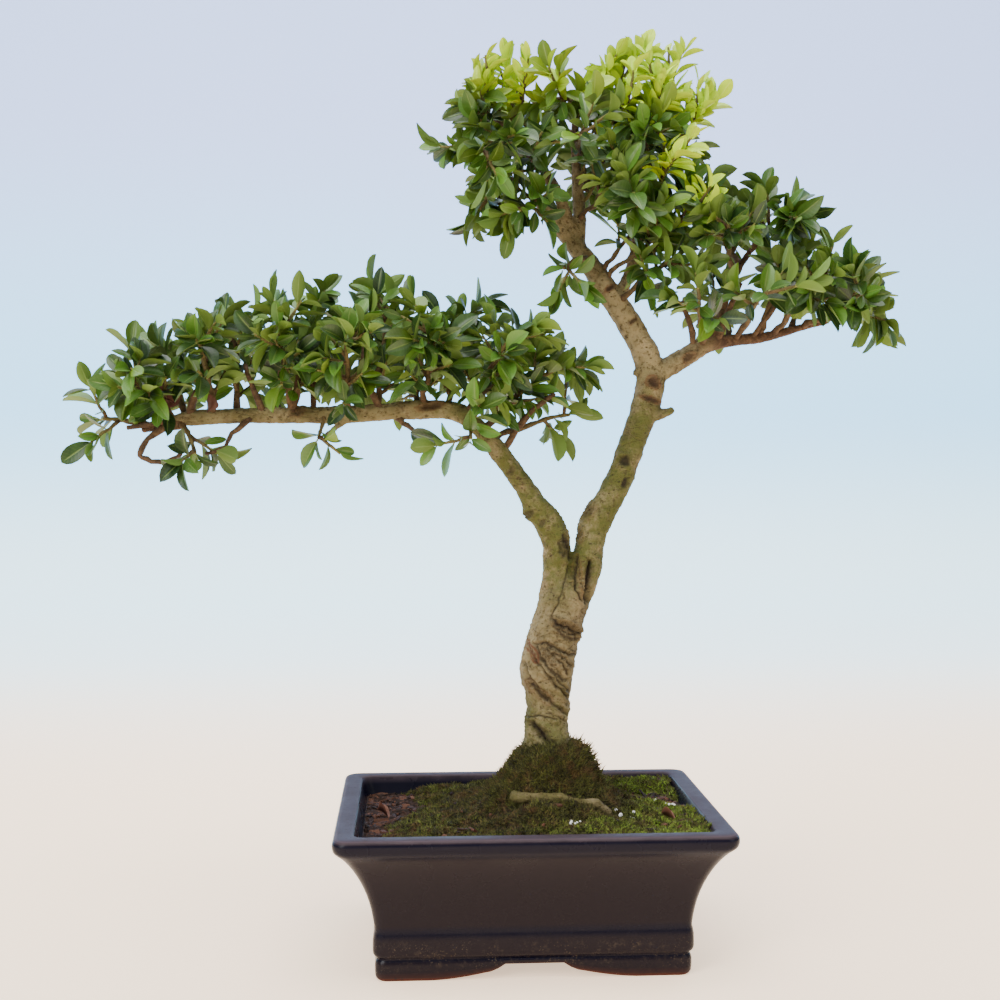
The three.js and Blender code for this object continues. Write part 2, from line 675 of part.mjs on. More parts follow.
// A blade, flat below and ridged above, its pointed root sunk into the twig.
function leafSolid(leaf) {
  const edge = (s, side) => leafPoint(leaf, s, side * bladeHalf(s));
  const ridge = ([s, height]) => leafPoint(leaf, s, 0).addScaledVector(leaf.face, height);
  const root = leaf.base.clone().addScaledVector(leaf.axis, -LEAF.sunk);
  const points = [
    root, ...LEAF.ridge.map(ridge), leafPoint(leaf, 1, 0),
    ...LEAF.stations.map((s) => edge(s, -1)),
    ...LEAF.stations.map((s) => edge(s, 1)),
  ];
  const [base, near, far, tip, l1, l2, r1, r2] = points.map((_, i) => i);
  return solidOf(
    fromFaces(points, [
      [base, near, l1], [near, l2, l1], [near, far, l2], [far, tip, l2],
      [base, r1, near], [near, r1, r2], [near, r2, far], [far, r2, tip],
      [base, l1, r1], [l1, l2, r2], [l1, r2, r1], [l2, tip, r2],
    ]),
  );
}

// A tapering stem along a bow.
function stemSolid(bow, radiusFrom, radiusTo, sides, steps) {
  const points = Array.from({ length: steps + 1 }, (_, i) => {
    const p = bow.at(i / steps);
    return [p.x, p.y, p.z, mix(radiusFrom, radiusTo, i / steps)];
  });
  return limbSolid(points, sides);
}

function beadsAlong(line, radius, beads, owner, part) {
  const steps = Math.max(2, Math.round(line.length() / BEAD.step));
  for (let i = 1; i <= steps; i++) beads.add(line.at(i / steps), radius, owner, part);
}

function lineIsClear(line, radius, beads, owner) {
  const steps = Math.max(2, Math.round(line.length() / BEAD.step));
  for (let i = 1; i <= steps; i++) {
    const p = line.at(i / steps);
    if (i > 1 && !beads.clear(p, radius, owner, null)) return false;
    if (outsideWood(p) < radius + TWIG.clearOfWood) return false;
  }
  return true;
}

// One twig of a spray: it leaves the stem's upper part and turns away from it, a little upwards.
function growTwig(spray, k, beads) {
  const draw = drawFrom(SEED + spray.seed * 101 + k * 17);
  const hanging = spray.head.z < spray.stem.a.z - HANGING_BELOW;
  for (let attempt = 0; attempt < TRIES; attempt++) {
    const start = TWIG_STARTS[k] + mix(-TWIG.back, TWIG.forth, draw());
    const along = spray.stem.along(start);
    const [side, over] = crossways(along);
    const turn = spray.seed + k * GOLDEN_ANGLE + attempt * TWIG.nextTurn + draw();
    const spread = TWIG.spread * mix(TWIG.spreadLeast, TWIG.spreadMost, draw());
    const way = along
      .clone()
      .multiplyScalar(Math.cos(spread))
      .addScaledVector(side, Math.sin(spread) * Math.cos(turn))
      .addScaledVector(over, Math.sin(spread) * Math.sin(turn))
      .addScaledVector(UP, hanging ? -TWIG.hang : TWIG.lift)
      .normalize();
    const from = spray.stem.at(start);
    const length = mix(TWIG.shortest, TWIG.longest, draw());
    const twig = new Twig(from, from.clone().addScaledVector(way, length), 2 * Math.PI * draw());
    if (lineIsClear(twig, BEAD.twig, beads, spray.name)) return twig;
  }
  return null;
}

// The leaves of one twig; those of the kept places are drawn first, and each takes the first clear way.
function growLeaves(spray, twig, k, places, count, size, beads) {
  const draw = drawFrom(SEED + spray.seed * 211 + k * 31 + places[0]);
  const grown = [];
  for (const place of places) {
    const share = mix(LEAF.first, LEAF.last, place / (count - 1));
    for (let attempt = 0; attempt < TRIES; attempt++) {
      const turn = twig.faceTurn(place + attempt) + mix(-LEAF.turnSway, LEAF.turnSway, draw());
      const leaf = leafOn(twig, share, turn, size, draw);
      const part = `${spray.name}/${k}/${place}`;
      const clear = leafIsClear(leaf, beads, spray.name, part);
      const offWood = leafBeads(leaf).every(({ point }) => outsideWood(point) > LEAF.clearOfWood);
      if (clear && offWood) {
        for (const { point } of leafBeads(leaf)) beads.add(point, BEAD.leaf, spray.name, part);
        grown.push(leaf);
        break;
      }
    }
  }
  return grown;
}

// All the foliage, grown in one order so that no spray crosses another.
function growFoliage() {
  const beads = new Beads();
  const sprays = [];
  for (const [pad, rows] of Object.entries(SPRAYS)) {
    rows.forEach(([limb, place, x, y, z, twigs], i) => {
      const name = `${pad}_spray_${String(i + 1).padStart(2, "0")}`;
      const head = vec(x, y, z);
      const stem = growStem(limb, place, head);
      sprays.push({ name, stem, head, radius: STEM.radius, twigs, seed: sprays.length + 1, shoot: false });
    });
  }
  SHOOTS.forEach(([limb, place, x, y, z], i) => {
    const head = vec(x, y, z);
    const stem = growStem(limb, place, head);
    const name = `new_shoot_${i + 1}`;
    const radius = STEM.shootRadius;
    sprays.push({ name, stem, head, radius, twigs: 0, seed: sprays.length + 1, shoot: true });
  });
  for (const spray of sprays) beadsAlong(spray.stem, spray.radius, beads, spray.name, "stem");
  for (const spray of sprays) {
    spray.grown = [];
    for (let k = 0; k < spray.twigs; k++) {
      const twig = growTwig(spray, k, beads);
      if (!twig) continue;
      beadsAlong(twig, BEAD.twig, beads, spray.name, "twig");
      spray.grown.push({ k, twig });
    }
  }
  for (const spray of sprays) {
    if (spray.shoot) {
      const places = Array.from({ length: SHOOT_LEAVES }, (_, i) => i);
      const upper = new Twig(spray.stem.at(0.5), spray.head, spray.seed);
      spray.leaves = growLeaves(spray, upper, 0, places, SHOOT_LEAVES, SHOOT_LEAF, beads);
      continue;
    }
    spray.leaves = spray.grown.flatMap(({ k, twig }) =>
      growLeaves(spray, twig, k, LEAVES_KEPT, LEAVES_IN_FULL, LEAF, beads),
    );
  }
  return sprays;
}

// Each spray's stem ends a seat gap clear of the wood that it grows from.
function spraySolid(spray, wood) {
  const whole = stemSolid(spray.stem, spray.radius, spray.radius * STEM.taper, STEM.sides, 2);
  const pieces = [largest(wood.reduce((stem, limb) => stem.subtract(limb), whole))];
  for (const { twig } of spray.grown) {
    pieces.push(solidOf(loft([twig.ring(0, TWIG.radius), twig.ring(1, TWIG.radius * TWIG.taper)])));
  }
  for (const leaf of spray.leaves) pieces.push(leafSolid(leaf));
  return largest(unionOf(pieces));
}

function meshOf(name, solid, material) {
  const mesh = new THREE.Mesh(geometryOf(solid), material);
  mesh.name = name;
  return mesh;
}

const bonsai = new THREE.Group();
const tree = new THREE.Group();
tree.add(meshOf("pot", potSolid(), FINISH.glaze));
tree.add(meshOf("drain_screen_left", screenSolid(-1), FINISH.screen));
tree.add(meshOf("drain_screen_right", screenSolid(1), FINISH.screen));
tree.add(meshOf("soil", soilSolid(), FINISH.soil));
tree.add(meshOf("moss", mossSolid(), FINISH.moss));
tree.add(meshOf("trunk", trunkSolid(), FINISH.bark));
const wood = limbSolids(STEM_GAP);
for (const spray of growFoliage()) {
  tree.add(meshOf(spray.name, spraySolid(spray, wood), spray.shoot ? FINISH.newLeaf : FINISH.leaf));
}

// Stand the middle of the box over the origin.
const box = new THREE.Box3().setFromObject(tree);
tree.position.set(-(box.min.x + box.max.x) / 2, -(box.min.y + box.max.y) / 2, 0);
bonsai.add(tree);

export default bonsai;
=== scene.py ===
"""Looks of a Japanese holly bonsai in its glazed pot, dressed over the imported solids.

Shapes are worked out in millimetres about the middle of the pot's feet, as the solids are, and
each finished piece is brought to metres in the row frame in one step. The foliage grows by the
solids' own seeded rule: the leaves that the solids have come first, at the same places, and the
finer twigs and the many leaves between them follow.
"""

from __future__ import annotations

import logging
import math
from collections.abc import Callable, Iterable, Sequence
from dataclasses import dataclass, field
from enum import Enum

import bmesh
import bpy
import numpy as np
from mathutils import Matrix, Vector, noise


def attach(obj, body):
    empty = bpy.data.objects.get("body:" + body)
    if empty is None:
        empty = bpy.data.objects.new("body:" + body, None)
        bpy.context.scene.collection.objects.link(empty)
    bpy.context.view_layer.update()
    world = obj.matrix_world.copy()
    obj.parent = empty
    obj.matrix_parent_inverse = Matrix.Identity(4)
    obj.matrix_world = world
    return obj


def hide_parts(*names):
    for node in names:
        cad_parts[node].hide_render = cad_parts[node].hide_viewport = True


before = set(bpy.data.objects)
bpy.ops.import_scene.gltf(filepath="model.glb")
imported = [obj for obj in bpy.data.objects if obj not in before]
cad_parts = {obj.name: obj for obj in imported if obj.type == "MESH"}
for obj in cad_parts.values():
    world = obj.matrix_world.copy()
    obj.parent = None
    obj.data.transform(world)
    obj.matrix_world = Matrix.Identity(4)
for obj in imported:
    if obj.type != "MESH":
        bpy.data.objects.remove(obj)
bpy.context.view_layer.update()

LOG = logging.getLogger("bonsai")
MM = 0.001
TREE_SHIFT = 16.134
TO_FRAME = Matrix.Translation((TREE_SHIFT * MM, 0.0, 0.0)) @ Matrix.Scale(MM, 4)
UP = np.array([0.0, 0.0, 1.0])
THIRD = 2 * math.pi / 3
GOLDEN_ANGLE = 2.39996
SEED = 7103

Pair = tuple[float, float]
Triple = tuple[float, float, float]
Station = tuple[float, float, float, float]
Colour = tuple[float, float, float, float]
Vert = bmesh.types.BMVert
Edge = bmesh.types.BMEdge
Face = bmesh.types.BMFace
Mesh = bpy.types.Mesh
Material = bpy.types.Material
Socket = bpy.types.NodeSocket
Array = np.ndarray
Bead = tuple[float, float, float, float, str, str]


class Slot(Enum):
    """The record's material slots."""

    GLAZE = "glaze"
    SOIL = "soil"
    MOSS = "moss"
    BARK = "bark"
    LEAF = "leaf"
    NEW_LEAF = "new_leaf"


def mix(low: float, high: float, share: float) -> float:
    """The number that lies at a share of the way from low to high."""
    return low + (high - low) * share


def smooth(low: float, high: float, value: float) -> float:
    """A soft step from 0 at low to 1 at high."""
    share = min(1.0, max(0.0, (value - low) / (high - low)))
    return share * share * (3 - 2 * share)


def colour(red: int, green: int, blue: int) -> Colour:
    """A daylight colour of 0 to 255 as Blender's linear one."""
    shares = (c / 255 for c in (red, green, blue))
    return (*(c / 12.92 if c <= 0.04045 else ((c + 0.055) / 1.055) ** 2.4 for c in shares), 1.0)


def unit(vector: Array) -> Array:
    """A vector's direction."""
    return vector / math.sqrt(float(vector @ vector))


def turned_to(columns: Sequence[Sequence[float]]) -> Matrix:
    """The matrix whose first three columns are directions and whose last is a place."""
    return Matrix([[float(c[row]) for c in columns] for row in range(3)] + [[0.0, 0.0, 0.0, 1.0]])


def placed(name: str, data: bpy.types.ID) -> bpy.types.Object:
    """A new object in the scene.

    Args:
        name: Its name.
        data: Its mesh, light or camera.

    Returns:
        The object.
    """
    made = bpy.data.objects.new(name, data)
    bpy.context.scene.collection.objects.link(made)
    return made


class Draw:
    """A repeatable run of numbers from 0 to 1."""

    def __init__(self, seed: int) -> None:
        """Starts the run.

        Args:
            seed: The number that the whole run follows from.
        """
        self.state = seed
        for _ in range(3):
            self()

    def __call__(self) -> float:
        """The next number of the run."""
        self.state = (self.state * 1664525 + 1013904223) % 4294967296
        return self.state / 4294967296

    def between(self, low: float, high: float) -> float:
        """The next number, spread over a range."""
        return mix(low, high, self())


# Shaders.


class Value:
    """A number that varies over a surface, with Python's own operators."""

    def __init__(self, paint: "Paint", socket: Socket) -> None:
        """Wraps an output socket of a paint's nodes."""
        self.paint = paint
        self.socket = socket

    def __add__(self, other: "Value | float") -> "Value":
        """self + other."""
        return self.paint.maths("ADD", self, other)

    def __radd__(self, other: float) -> "Value":
        """other + self."""
        return self.paint.maths("ADD", other, self)

    def __sub__(self, other: "Value | float") -> "Value":
        """self - other."""
        return self.paint.maths("SUBTRACT", self, other)

    def __rsub__(self, other: float) -> "Value":
        """other - self."""
        return self.paint.maths("SUBTRACT", other, self)

    def __mul__(self, other: "Value | float") -> "Value":
        """self * other."""
        return self.paint.maths("MULTIPLY", self, other)

    def __rmul__(self, other: float) -> "Value":
        """other * self."""
        return self.paint.maths("MULTIPLY", other, self)

    def __abs__(self) -> "Value":
        """The number without its sign."""
        return self.paint.maths("ABSOLUTE", self, 0.0)

    def wave(self) -> "Value":
        """The sine of the number."""
        return self.paint.maths("SINE", self, 0.0)

    def step(self, low: float, high: float) -> "Value":
        """A soft step from 0 at low to 1 at high.

        Args:
            low: Where the step starts.
            high: Where it ends; below low for a step down.

        Returns:
            The step as a number from 0 to 1.
        """
        flip = high < low
        node = self.paint.node(
            "ShaderNodeMapRange",
            {"interpolation_type": "SMOOTHSTEP"},
            {
                "Value": self,
                "From Min": high if flip else low,
                "From Max": low if flip else high,
                "To Min": 1.0 if flip else 0.0,
                "To Max": 0.0 if flip else 1.0,
            },
        )
        return Value(self.paint, node.outputs[0])


class Paint:
    """A material in the making: one node tree round one Principled shader."""

    def __init__(self, name: str) -> None:
        """Starts an empty material.

        Args:
            name: The material's name.
        """
        self.material = bpy.data.materials.new(name)
        self.material.use_nodes = True
        self.tree = self.material.node_tree
        self.tree.nodes.clear()
        self.shader = self.node("ShaderNodeBsdfPrincipled", {}, {})
        self.node("ShaderNodeOutputMaterial", {}, {"Surface": self.shader.outputs[0]})

    def node(
        self, kind: str, settings: dict[str, object], sockets: dict[str | int, object]
    ) -> bpy.types.Node:
        """Adds a node.

        Args:
            kind: The node's type.
            settings: Its properties, set first.
            sockets: The values or links of its input sockets.

        Returns:
            The node.
        """
        made = self.tree.nodes.new(kind)
        for key, value in settings.items():
            setattr(made, key, value)
        for key, value in sockets.items():
            self.plug(made.inputs[key], value)
        return made

    def plug(self, socket: Socket, value: object) -> None:
        """Links an input socket to a number or colour that varies, or sets it.

        Args:
            socket: The input socket.
            value: A number, a colour, or what carries one.
        """
        source = value.socket if isinstance(value, Value) else value
        if isinstance(source, Socket):
            self.tree.links.new(source, socket)
        else:
            socket.default_value = source

    def maths(self, operation: str, first: "Value | float", second: "Value | float") -> Value:
        """A Math node on two numbers."""
        node = self.node("ShaderNodeMath", {"operation": operation}, {0: first, 1: second})
        return Value(self, node.outputs[0])

    def place(self, stretch: Triple = (1.0, 1.0, 1.0)) -> Socket:
        """The surface's own place in millimetres about the pot, stretched along the axes.

        Args:
            stretch: How much closer a pattern's marks lie along x, y and z.

        Returns:
            The vector socket.
        """
        where = self.node("ShaderNodeTexCoord", {}, {}).outputs["Object"]
        scale = tuple(1000.0 * s for s in stretch)
        shift = (-TREE_SHIFT * stretch[0], 0.0, 0.0)
        sockets = {"Vector": where, "Scale": scale, "Location": shift}
        return self.node("ShaderNodeMapping", {}, sockets).outputs[0]

    def axis(self, vector: Socket, index: int) -> Value:
        """One coordinate of a vector."""
        return Value(self, self.node("ShaderNodeSeparateXYZ", {}, {0: vector}).outputs[index])

    def cloud(self, vector: Socket, size: float, detail: float = 3.0, rough: float = 0.55) -> Value:
        """Soft noise about 0.5 with lumps of a size in millimetres, and finer layers in them."""
        sockets = {"Vector": vector, "Scale": 1.0 / size, "Detail": detail, "Roughness": rough}
        return Value(self, self.node("ShaderNodeTexNoise", {}, sockets).outputs[0])

    def cells(self, vector: Socket, size: float, feature: str = "F1") -> Value:
        """Distance to the nearest point, or edge, of a scatter of cells.

        Args:
            vector: The place it is read at.
            size: The cells' size, in millimetres.
            feature: What the distance is measured to.

        Returns:
            The distance.
        """
        sockets = {"Vector": vector, "Scale": 1.0 / size}
        node = self.node("ShaderNodeTexVoronoi", {"feature": feature}, sockets)
        return Value(self, node.outputs["Distance"])

    def written(self, name: str) -> Value:
        """A number that the mesh carries under a name."""
        return Value(self, self.node("ShaderNodeAttribute", {"attribute_name": name}, {}).outputs["Fac"])

    def blend(self, share: "Value | float", first: object, second: object) -> Socket:
        """A colour at a share of the way from one colour, or colour socket, to another."""
        return self.node("ShaderNodeMix", {"data_type": "RGBA"}, {0: share, 6: first, 7: second}).outputs[2]

    def bump(self, height: Value, depth: float, below: Socket | None = None) -> Socket:
        """Relief from a height.

        Args:
            height: The height, from 0 to 1.
            depth: What 1 means, in millimetres.
            below: Another relief's normal, under this one.

        Returns:
            The normal socket.
        """
        sockets: dict[str | int, object] = {"Height": height, "Distance": depth * MM, "Strength": 1.0}
        if below is not None:
            sockets["Normal"] = below
        return self.node("ShaderNodeBump", {}, sockets).outputs[0]

    def dress(self, **sockets: object) -> Material:
        """Sets the shader's sockets, named with underscores for spaces.

        Args:
            sockets: Their values or links.

        Returns:
            The material.
        """
        for name, value in sockets.items():
            self.plug(self.shader.inputs[name.replace("_", " ")], value)
        return self.material


@dataclass(frozen=True)
class GlazeFinish:
    """Dark blue glaze, thinner and brown on the edges with a painted highlight along them, a painted sheen on
    the rim's flat top, dusty low down and bare clay under the feet.
    """

    body: Colour = colour(23, 18, 25)
    blue: Colour = colour(14, 13, 27)
    thin_glaze_and_highlight: Colour = colour(84, 70, 76)
    dust: Colour = colour(76, 66, 54)
    clay: Colour = colour(78, 46, 36)
    burnt: Colour = colour(70, 34, 26)
    gloss: float = 0.24

    def build(self) -> Material:
        """Makes the material.

        Returns:
            The material.
        """
        paint = Paint("navy_glaze")
        where = paint.place()
        level = paint.axis(where, 2)
        bands = level.step(57.5, 60.5) * level.step(67.2, 66.0)
        bands = bands + level.step(25.5, 22.5) * level.step(18.0, 21.5)
        bands = bands + level.step(11.2, 10.0) * level.step(8.2, 9.4) * 0.8
        deep = paint.blend(bands, self.body, self.blue)
        # The rim's edges take the pale brown colour of thinner glaze, which also paints a highlight along
        # them; over the rim's flat top the same colour is a painted sheen.
        edge = paint.written("edge")
        rim_top_thin_and_sheen = level.step(67.2, 67.9) * 0.5
        deep = paint.blend(edge * (paint.cloud(where, 9.0) * 0.5 + 0.1) + rim_top_thin_and_sheen, deep, self.thin_glaze_and_highlight)
        speck = paint.cells(where, 1.1).step(0.34, 0.1) * paint.cloud(where, 9.0, 4.0).step(0.46, 0.62)
        low = level.step(20.0, 15.0) * (level.step(1.0, 5.0) * 0.6 + level.step(5.0, 9.5) * 0.4)
        low = low + level.step(67.2, 67.9) * 0.8 + 0.04
        dusty = (speck * 0.8 + paint.cloud(where, 3.2, 6.0, 0.75).step(0.5, 0.8) * 0.5) * low
        shown = paint.blend(dusty, deep, self.dust)
        bare = paint.written("bare") * paint.cloud(where, 3.0).step(0.2, 0.45)
        shown = paint.blend(bare, shown, paint.blend(paint.cloud(where, 1.5), self.clay, self.burnt))
        rough = self.gloss + dusty * 0.45 + bare * 0.6 + paint.cloud(where, 18.0, 4.0).step(0.4, 0.7) * 0.1
        rough = rough + level.step(66.9, 67.6) * 0.34
        ripple = paint.bump(paint.cloud(where, 12.0, 1.0), 0.16)
        relief = paint.bump(dusty + paint.cloud(where, 0.7, 2.0) * 0.16 + bare * 0.5, 0.08, ripple)
        return paint.dress(Base_Color=shown, Roughness=rough, Normal=relief, Specular_IOR_Level=0.12)


@dataclass(frozen=True)
class ScreenFinish:
    """Dull moulded plastic of the drain screens, with soil rubbed into it."""

    plastic: Colour = colour(30, 34, 28)
    rubbed: Colour = colour(74, 54, 40)

    def build(self) -> Material:
        """Makes the material.

        Returns:
            The material.
        """
        paint = Paint("screen_plastic")
        where = paint.place()
        soiled = paint.cloud(where, 3.0, 4.0).step(0.45, 0.65)
        shown = paint.blend(soiled * 0.6, self.plastic, self.rubbed)
        relief = paint.bump(paint.cloud(where, 0.5, 2.0), 0.05)
        return paint.dress(Base_Color=shown, Roughness=0.5 + soiled * 0.35, Normal=relief)


@dataclass(frozen=True)
class SoilFinish:
    """Damp peat, red-brown, with paler fibres and near-black painted shade in the gaps between crumbs."""

    dark: Colour = colour(26, 16, 11)
    light: Colour = colour(66, 42, 28)
    gap_shade: Colour = colour(24, 15, 12)
    straw: Colour = colour(112, 78, 54)

    def build(self) -> Material:
        """Makes the material.

        Returns:
            The material.
        """
        paint = Paint("peat")
        where = paint.place()
        crumb = paint.cells(where, 2.2)
        lump = paint.cloud(where, 6.0, 5.0, 0.65)
        shown = paint.blend(lump.step(0.35, 0.7), self.dark, self.light)
        # Painted shade: the gaps between crumbs, where the relief is lowest, are darkened near black.
        shown = paint.blend(crumb.step(0.45, 0.8) * 0.7, shown, self.gap_shade)
        fibre = paint.cloud(paint.place((1.0, 3.0, 1.0)), 1.4, 3.0).step(0.62, 0.72) * 0.5
        shown = paint.blend(fibre, shown, self.straw)
        relief = paint.bump(crumb * -1.0 + lump + fibre, 1.0)
        return paint.dress(Base_Color=shown, Roughness=0.9, Normal=relief, Specular_IOR_Level=0.3)


@dataclass(frozen=True)
class ChipFinish:
    """Bark chips and fallen bits, each with its own tint from dark red-brown to pinkish tan."""

    dark: Colour = colour(32, 18, 11)
    light: Colour = colour(100, 62, 42)
    pale: Colour = colour(226, 224, 220)

    def build(self) -> Material:
        """Makes the material.

        Returns:
            The material.
        """
        paint = Paint("bark_chip")
        where = paint.place()
        tint = paint.written("tint")
        grain = paint.cloud(paint.place((3.0, 1.0, 1.0)), 1.6, 4.0, 0.7)
        shown = paint.blend((tint * 0.8 + grain * 0.5 - 0.2).step(0.0, 1.0), self.dark, self.light)
        shown = paint.blend(tint.step(1.4, 1.6), shown, self.pale)
        relief = paint.bump(grain + paint.cloud(where, 0.6), 0.3)
        return paint.dress(Base_Color=shown, Roughness=0.8, Normal=relief, Specular_IOR_Level=0.35)


@dataclass(frozen=True)
class MossFinish:
    """Moss from dark olive-brown round the trunk to bright green on the flats; this brightness is painted
    light and shade, and the grain's hollows get painted shade.
    """

    shade: Colour = colour(28, 25, 13)
    olive: Colour = colour(86, 77, 40)
    bright: Colour = colour(146, 178, 56)
    dry: Colour = colour(108, 77, 50)

    def build(self) -> Material:
        """Makes the material.

        Returns:
            The material.
        """
        paint = Paint("moss_green")
        where = paint.place()
        tint = paint.written("tint")
        # The light number is painted light and shade: it draws the moss darker or brighter by place.
        light = paint.written("light")
        low = paint.blend(tint, self.shade, self.olive)
        body = paint.blend(light, low, paint.blend(tint, self.olive, self.bright))
        dried = paint.cloud(where, 7.0, 5.0, 0.7).step(0.46, 0.66) * (1.0 - light * 0.5)
        shown = paint.blend(dried * 0.75, body, self.dry)
        grain = paint.cloud(where, 0.8, 3.0)
        # Painted shade in the hollows of the grain.
        shown = paint.blend(grain.step(0.6, 0.36) * 0.7, shown, self.shade)
        relief = paint.bump(grain, 0.8)
        return paint.dress(Base_Color=shown, Roughness=0.8, Normal=relief, Specular_IOR_Level=0.3)


@dataclass(frozen=True)
class BarkFinish:
    """Pale grey-tan bark with algae, dark pores and red-brown younger wood, with painted shade in its dents,
    cracks and creases and dark wood in its wounds.
    """

    pale: Colour = colour(152, 138, 104)
    grey: Colour = colour(92, 80, 54)
    algae: Colour = colour(76, 80, 30)
    moss: Colour = colour(52, 66, 16)
    young: Colour = colour(60, 42, 30)
    wound: Colour = colour(30, 22, 12)
    callus: Colour = colour(90, 56, 36)
    worn: Colour = colour(98, 74, 52)
    stem: Colour = colour(84, 92, 36)
    stem_pale: Colour = colour(134, 126, 66)
    pore: Colour = colour(42, 34, 18)
    dent_shade: Colour = colour(54, 45, 25)

    def build(self) -> Material:
        """Makes the material.

        Returns:
            The material.
        """
        paint = Paint("holly_bark")
        where = paint.place()
        level = paint.axis(where, 2)
        patch = paint.cloud(where, 17.0, 6.0, 0.62)
        fine = paint.cloud(where, 2.4, 5.0, 0.7)
        wrinkle = paint.cloud(paint.place((0.5, 0.5, 1.7)), 2.6, 4.0, 0.65)
        shown = paint.blend((patch * 0.65 + fine * 0.35).step(0.36, 0.62), self.grey, self.pale)
        limbs = level.step(156.0, 182.0) * level.step(285.0, 250.0)
        limbs = limbs * (paint.axis(where, 0).step(-60.0, -20.0) * 0.7 + 0.3)
        heights = limbs * 0.9 + level.step(134.0, 104.0) * 0.75 + 0.22
        moist = paint.cloud(where, 13.0, 5.0, 0.72).step(0.26, 0.58) * heights
        shown = paint.blend(moist * 0.85, shown, self.algae)
        shown = paint.blend(moist * fine.step(0.5, 0.68) * 0.7, shown, self.moss)
        younger = paint.blend(paint.cloud(where, 3.0, 5.0, 0.65).step(0.35, 0.7), self.young, self.worn)
        shown = paint.blend(paint.written("young"), shown, younger)
        shown = paint.blend(paint.written("green"), shown, paint.blend(fine, self.stem, self.stem_pale))
        pore = paint.cells(paint.place((0.8, 0.8, 1.5)), 3.0).step(0.24, 0.08) * fine.step(0.4, 0.56)
        shown = paint.blend(pore * 0.8, shown, self.pore)
        # Painted shade: the dents of the fine relief and the cracks are darkened.
        crack = paint.cells(paint.place((0.5, 0.5, 1.0)), 5.0, "DISTANCE_TO_EDGE").step(0.05, 0.0)
        crack = crack * patch.step(0.5, 0.4)
        shown = paint.blend(fine.step(0.48, 0.32) * 0.75 + crack * 0.25, shown, self.dent_shade)
        scar = paint.written("callus")
        shown = paint.blend((scar * (0.3 + fine * 0.7)).step(0.0, 1.0), shown, self.callus)
        # The wound number is dark wound wood in the scars and painted shade in the grooves of the creases.
        shown = paint.blend(paint.written("wound"), shown, self.wound)
        relief = paint.bump(wrinkle * 0.7 + fine * 1.1 - pore * 0.5 - crack * 0.4, 0.9)
        return paint.dress(Base_Color=shown, Roughness=0.8, Normal=relief, Specular_IOR_Level=0.3)


@dataclass(frozen=True)
class LeafFinish:
    """Leathery blades, glossy above and pale below, with a lighter midrib; lime when new."""

    deep: Colour = colour(19, 44, 15)
    fresh: Colour = colour(88, 132, 42)
    lime: Colour = colour(212, 240, 24)
    young: Colour = colour(178, 215, 20)
    rib: Colour = colour(118, 144, 70)
    under: Colour = colour(94, 122, 44)
    new_rib: Colour = colour(206, 222, 110)
    stalk: Colour = colour(150, 156, 84)

    def build(self) -> Material:
        """Makes the material.

        Returns:
            The material.
        """
        paint = Paint("holly_leaf")
        where = paint.place()
        blade = paint.node("ShaderNodeUVMap", {"uv_map": "blade"}, {}).outputs[0]
        wide = paint.axis(blade, 0)
        along = paint.axis(blade, 1)
        below = wide.step(1.4, 1.6)
        across = abs(wide - below * 2.0 - 0.5) * 2.0
        tint = paint.written("tint")
        new = paint.written("new")
        mature = paint.blend(tint, self.deep, self.fresh)
        shown = paint.blend(new, mature, paint.blend(tint, self.young, self.lime))
        mottle = paint.cloud(where, 5.0, 3.0)
        shown = paint.blend((mottle - 0.4) * 0.5, shown, self.fresh)
        side = (along * 58.0 - across * 9.0).wave()
        vein = side.step(0.72, 1.0) * across.step(0.04, 0.2) * across.step(1.0, 0.75)
        shown = paint.blend(vein * 0.06, shown, self.rib)
        pale = paint.blend(new * 0.8, self.under, self.lime)
        shown = paint.blend(below * 0.75, shown, pale)
        midrib = across.step(0.13, 0.03) * along.step(1.0, 0.75)
        shown = paint.blend(midrib * 0.5, shown, paint.blend(new, self.rib, self.new_rib))
        shown = paint.blend(along.step(0.14, 0.07) * 0.8, shown, self.stalk)
        relief = paint.bump(midrib * -0.6 - vein * 0.12 + mottle * 0.4, 0.22)
        rough = 0.3 + below * 0.25 + mottle * 0.12 + new * 0.04
        return paint.dress(Base_Color=shown, Roughness=rough, Normal=relief, Specular_IOR_Level=0.45)


@dataclass(frozen=True)
class DryLeafFinish:
    """Dead leaves: curled, dull, red-brown to pinkish tan."""

    dark: Colour = colour(64, 32, 22)
    light: Colour = colour(140, 92, 72)

    def build(self) -> Material:
        """Makes the material.

        Returns:
            The material.
        """
        paint = Paint("dead_leaf")
        where = paint.place()
        patch = paint.cloud(where, 4.0, 4.0, 0.6)
        share = (patch * 0.7 + paint.written("tint") * 0.6 - 0.1).step(0.1, 0.9)
        shown = paint.blend(share, self.dark, self.light)
        return paint.dress(Base_Color=shown, Roughness=0.6, Normal=paint.bump(patch, 0.4))


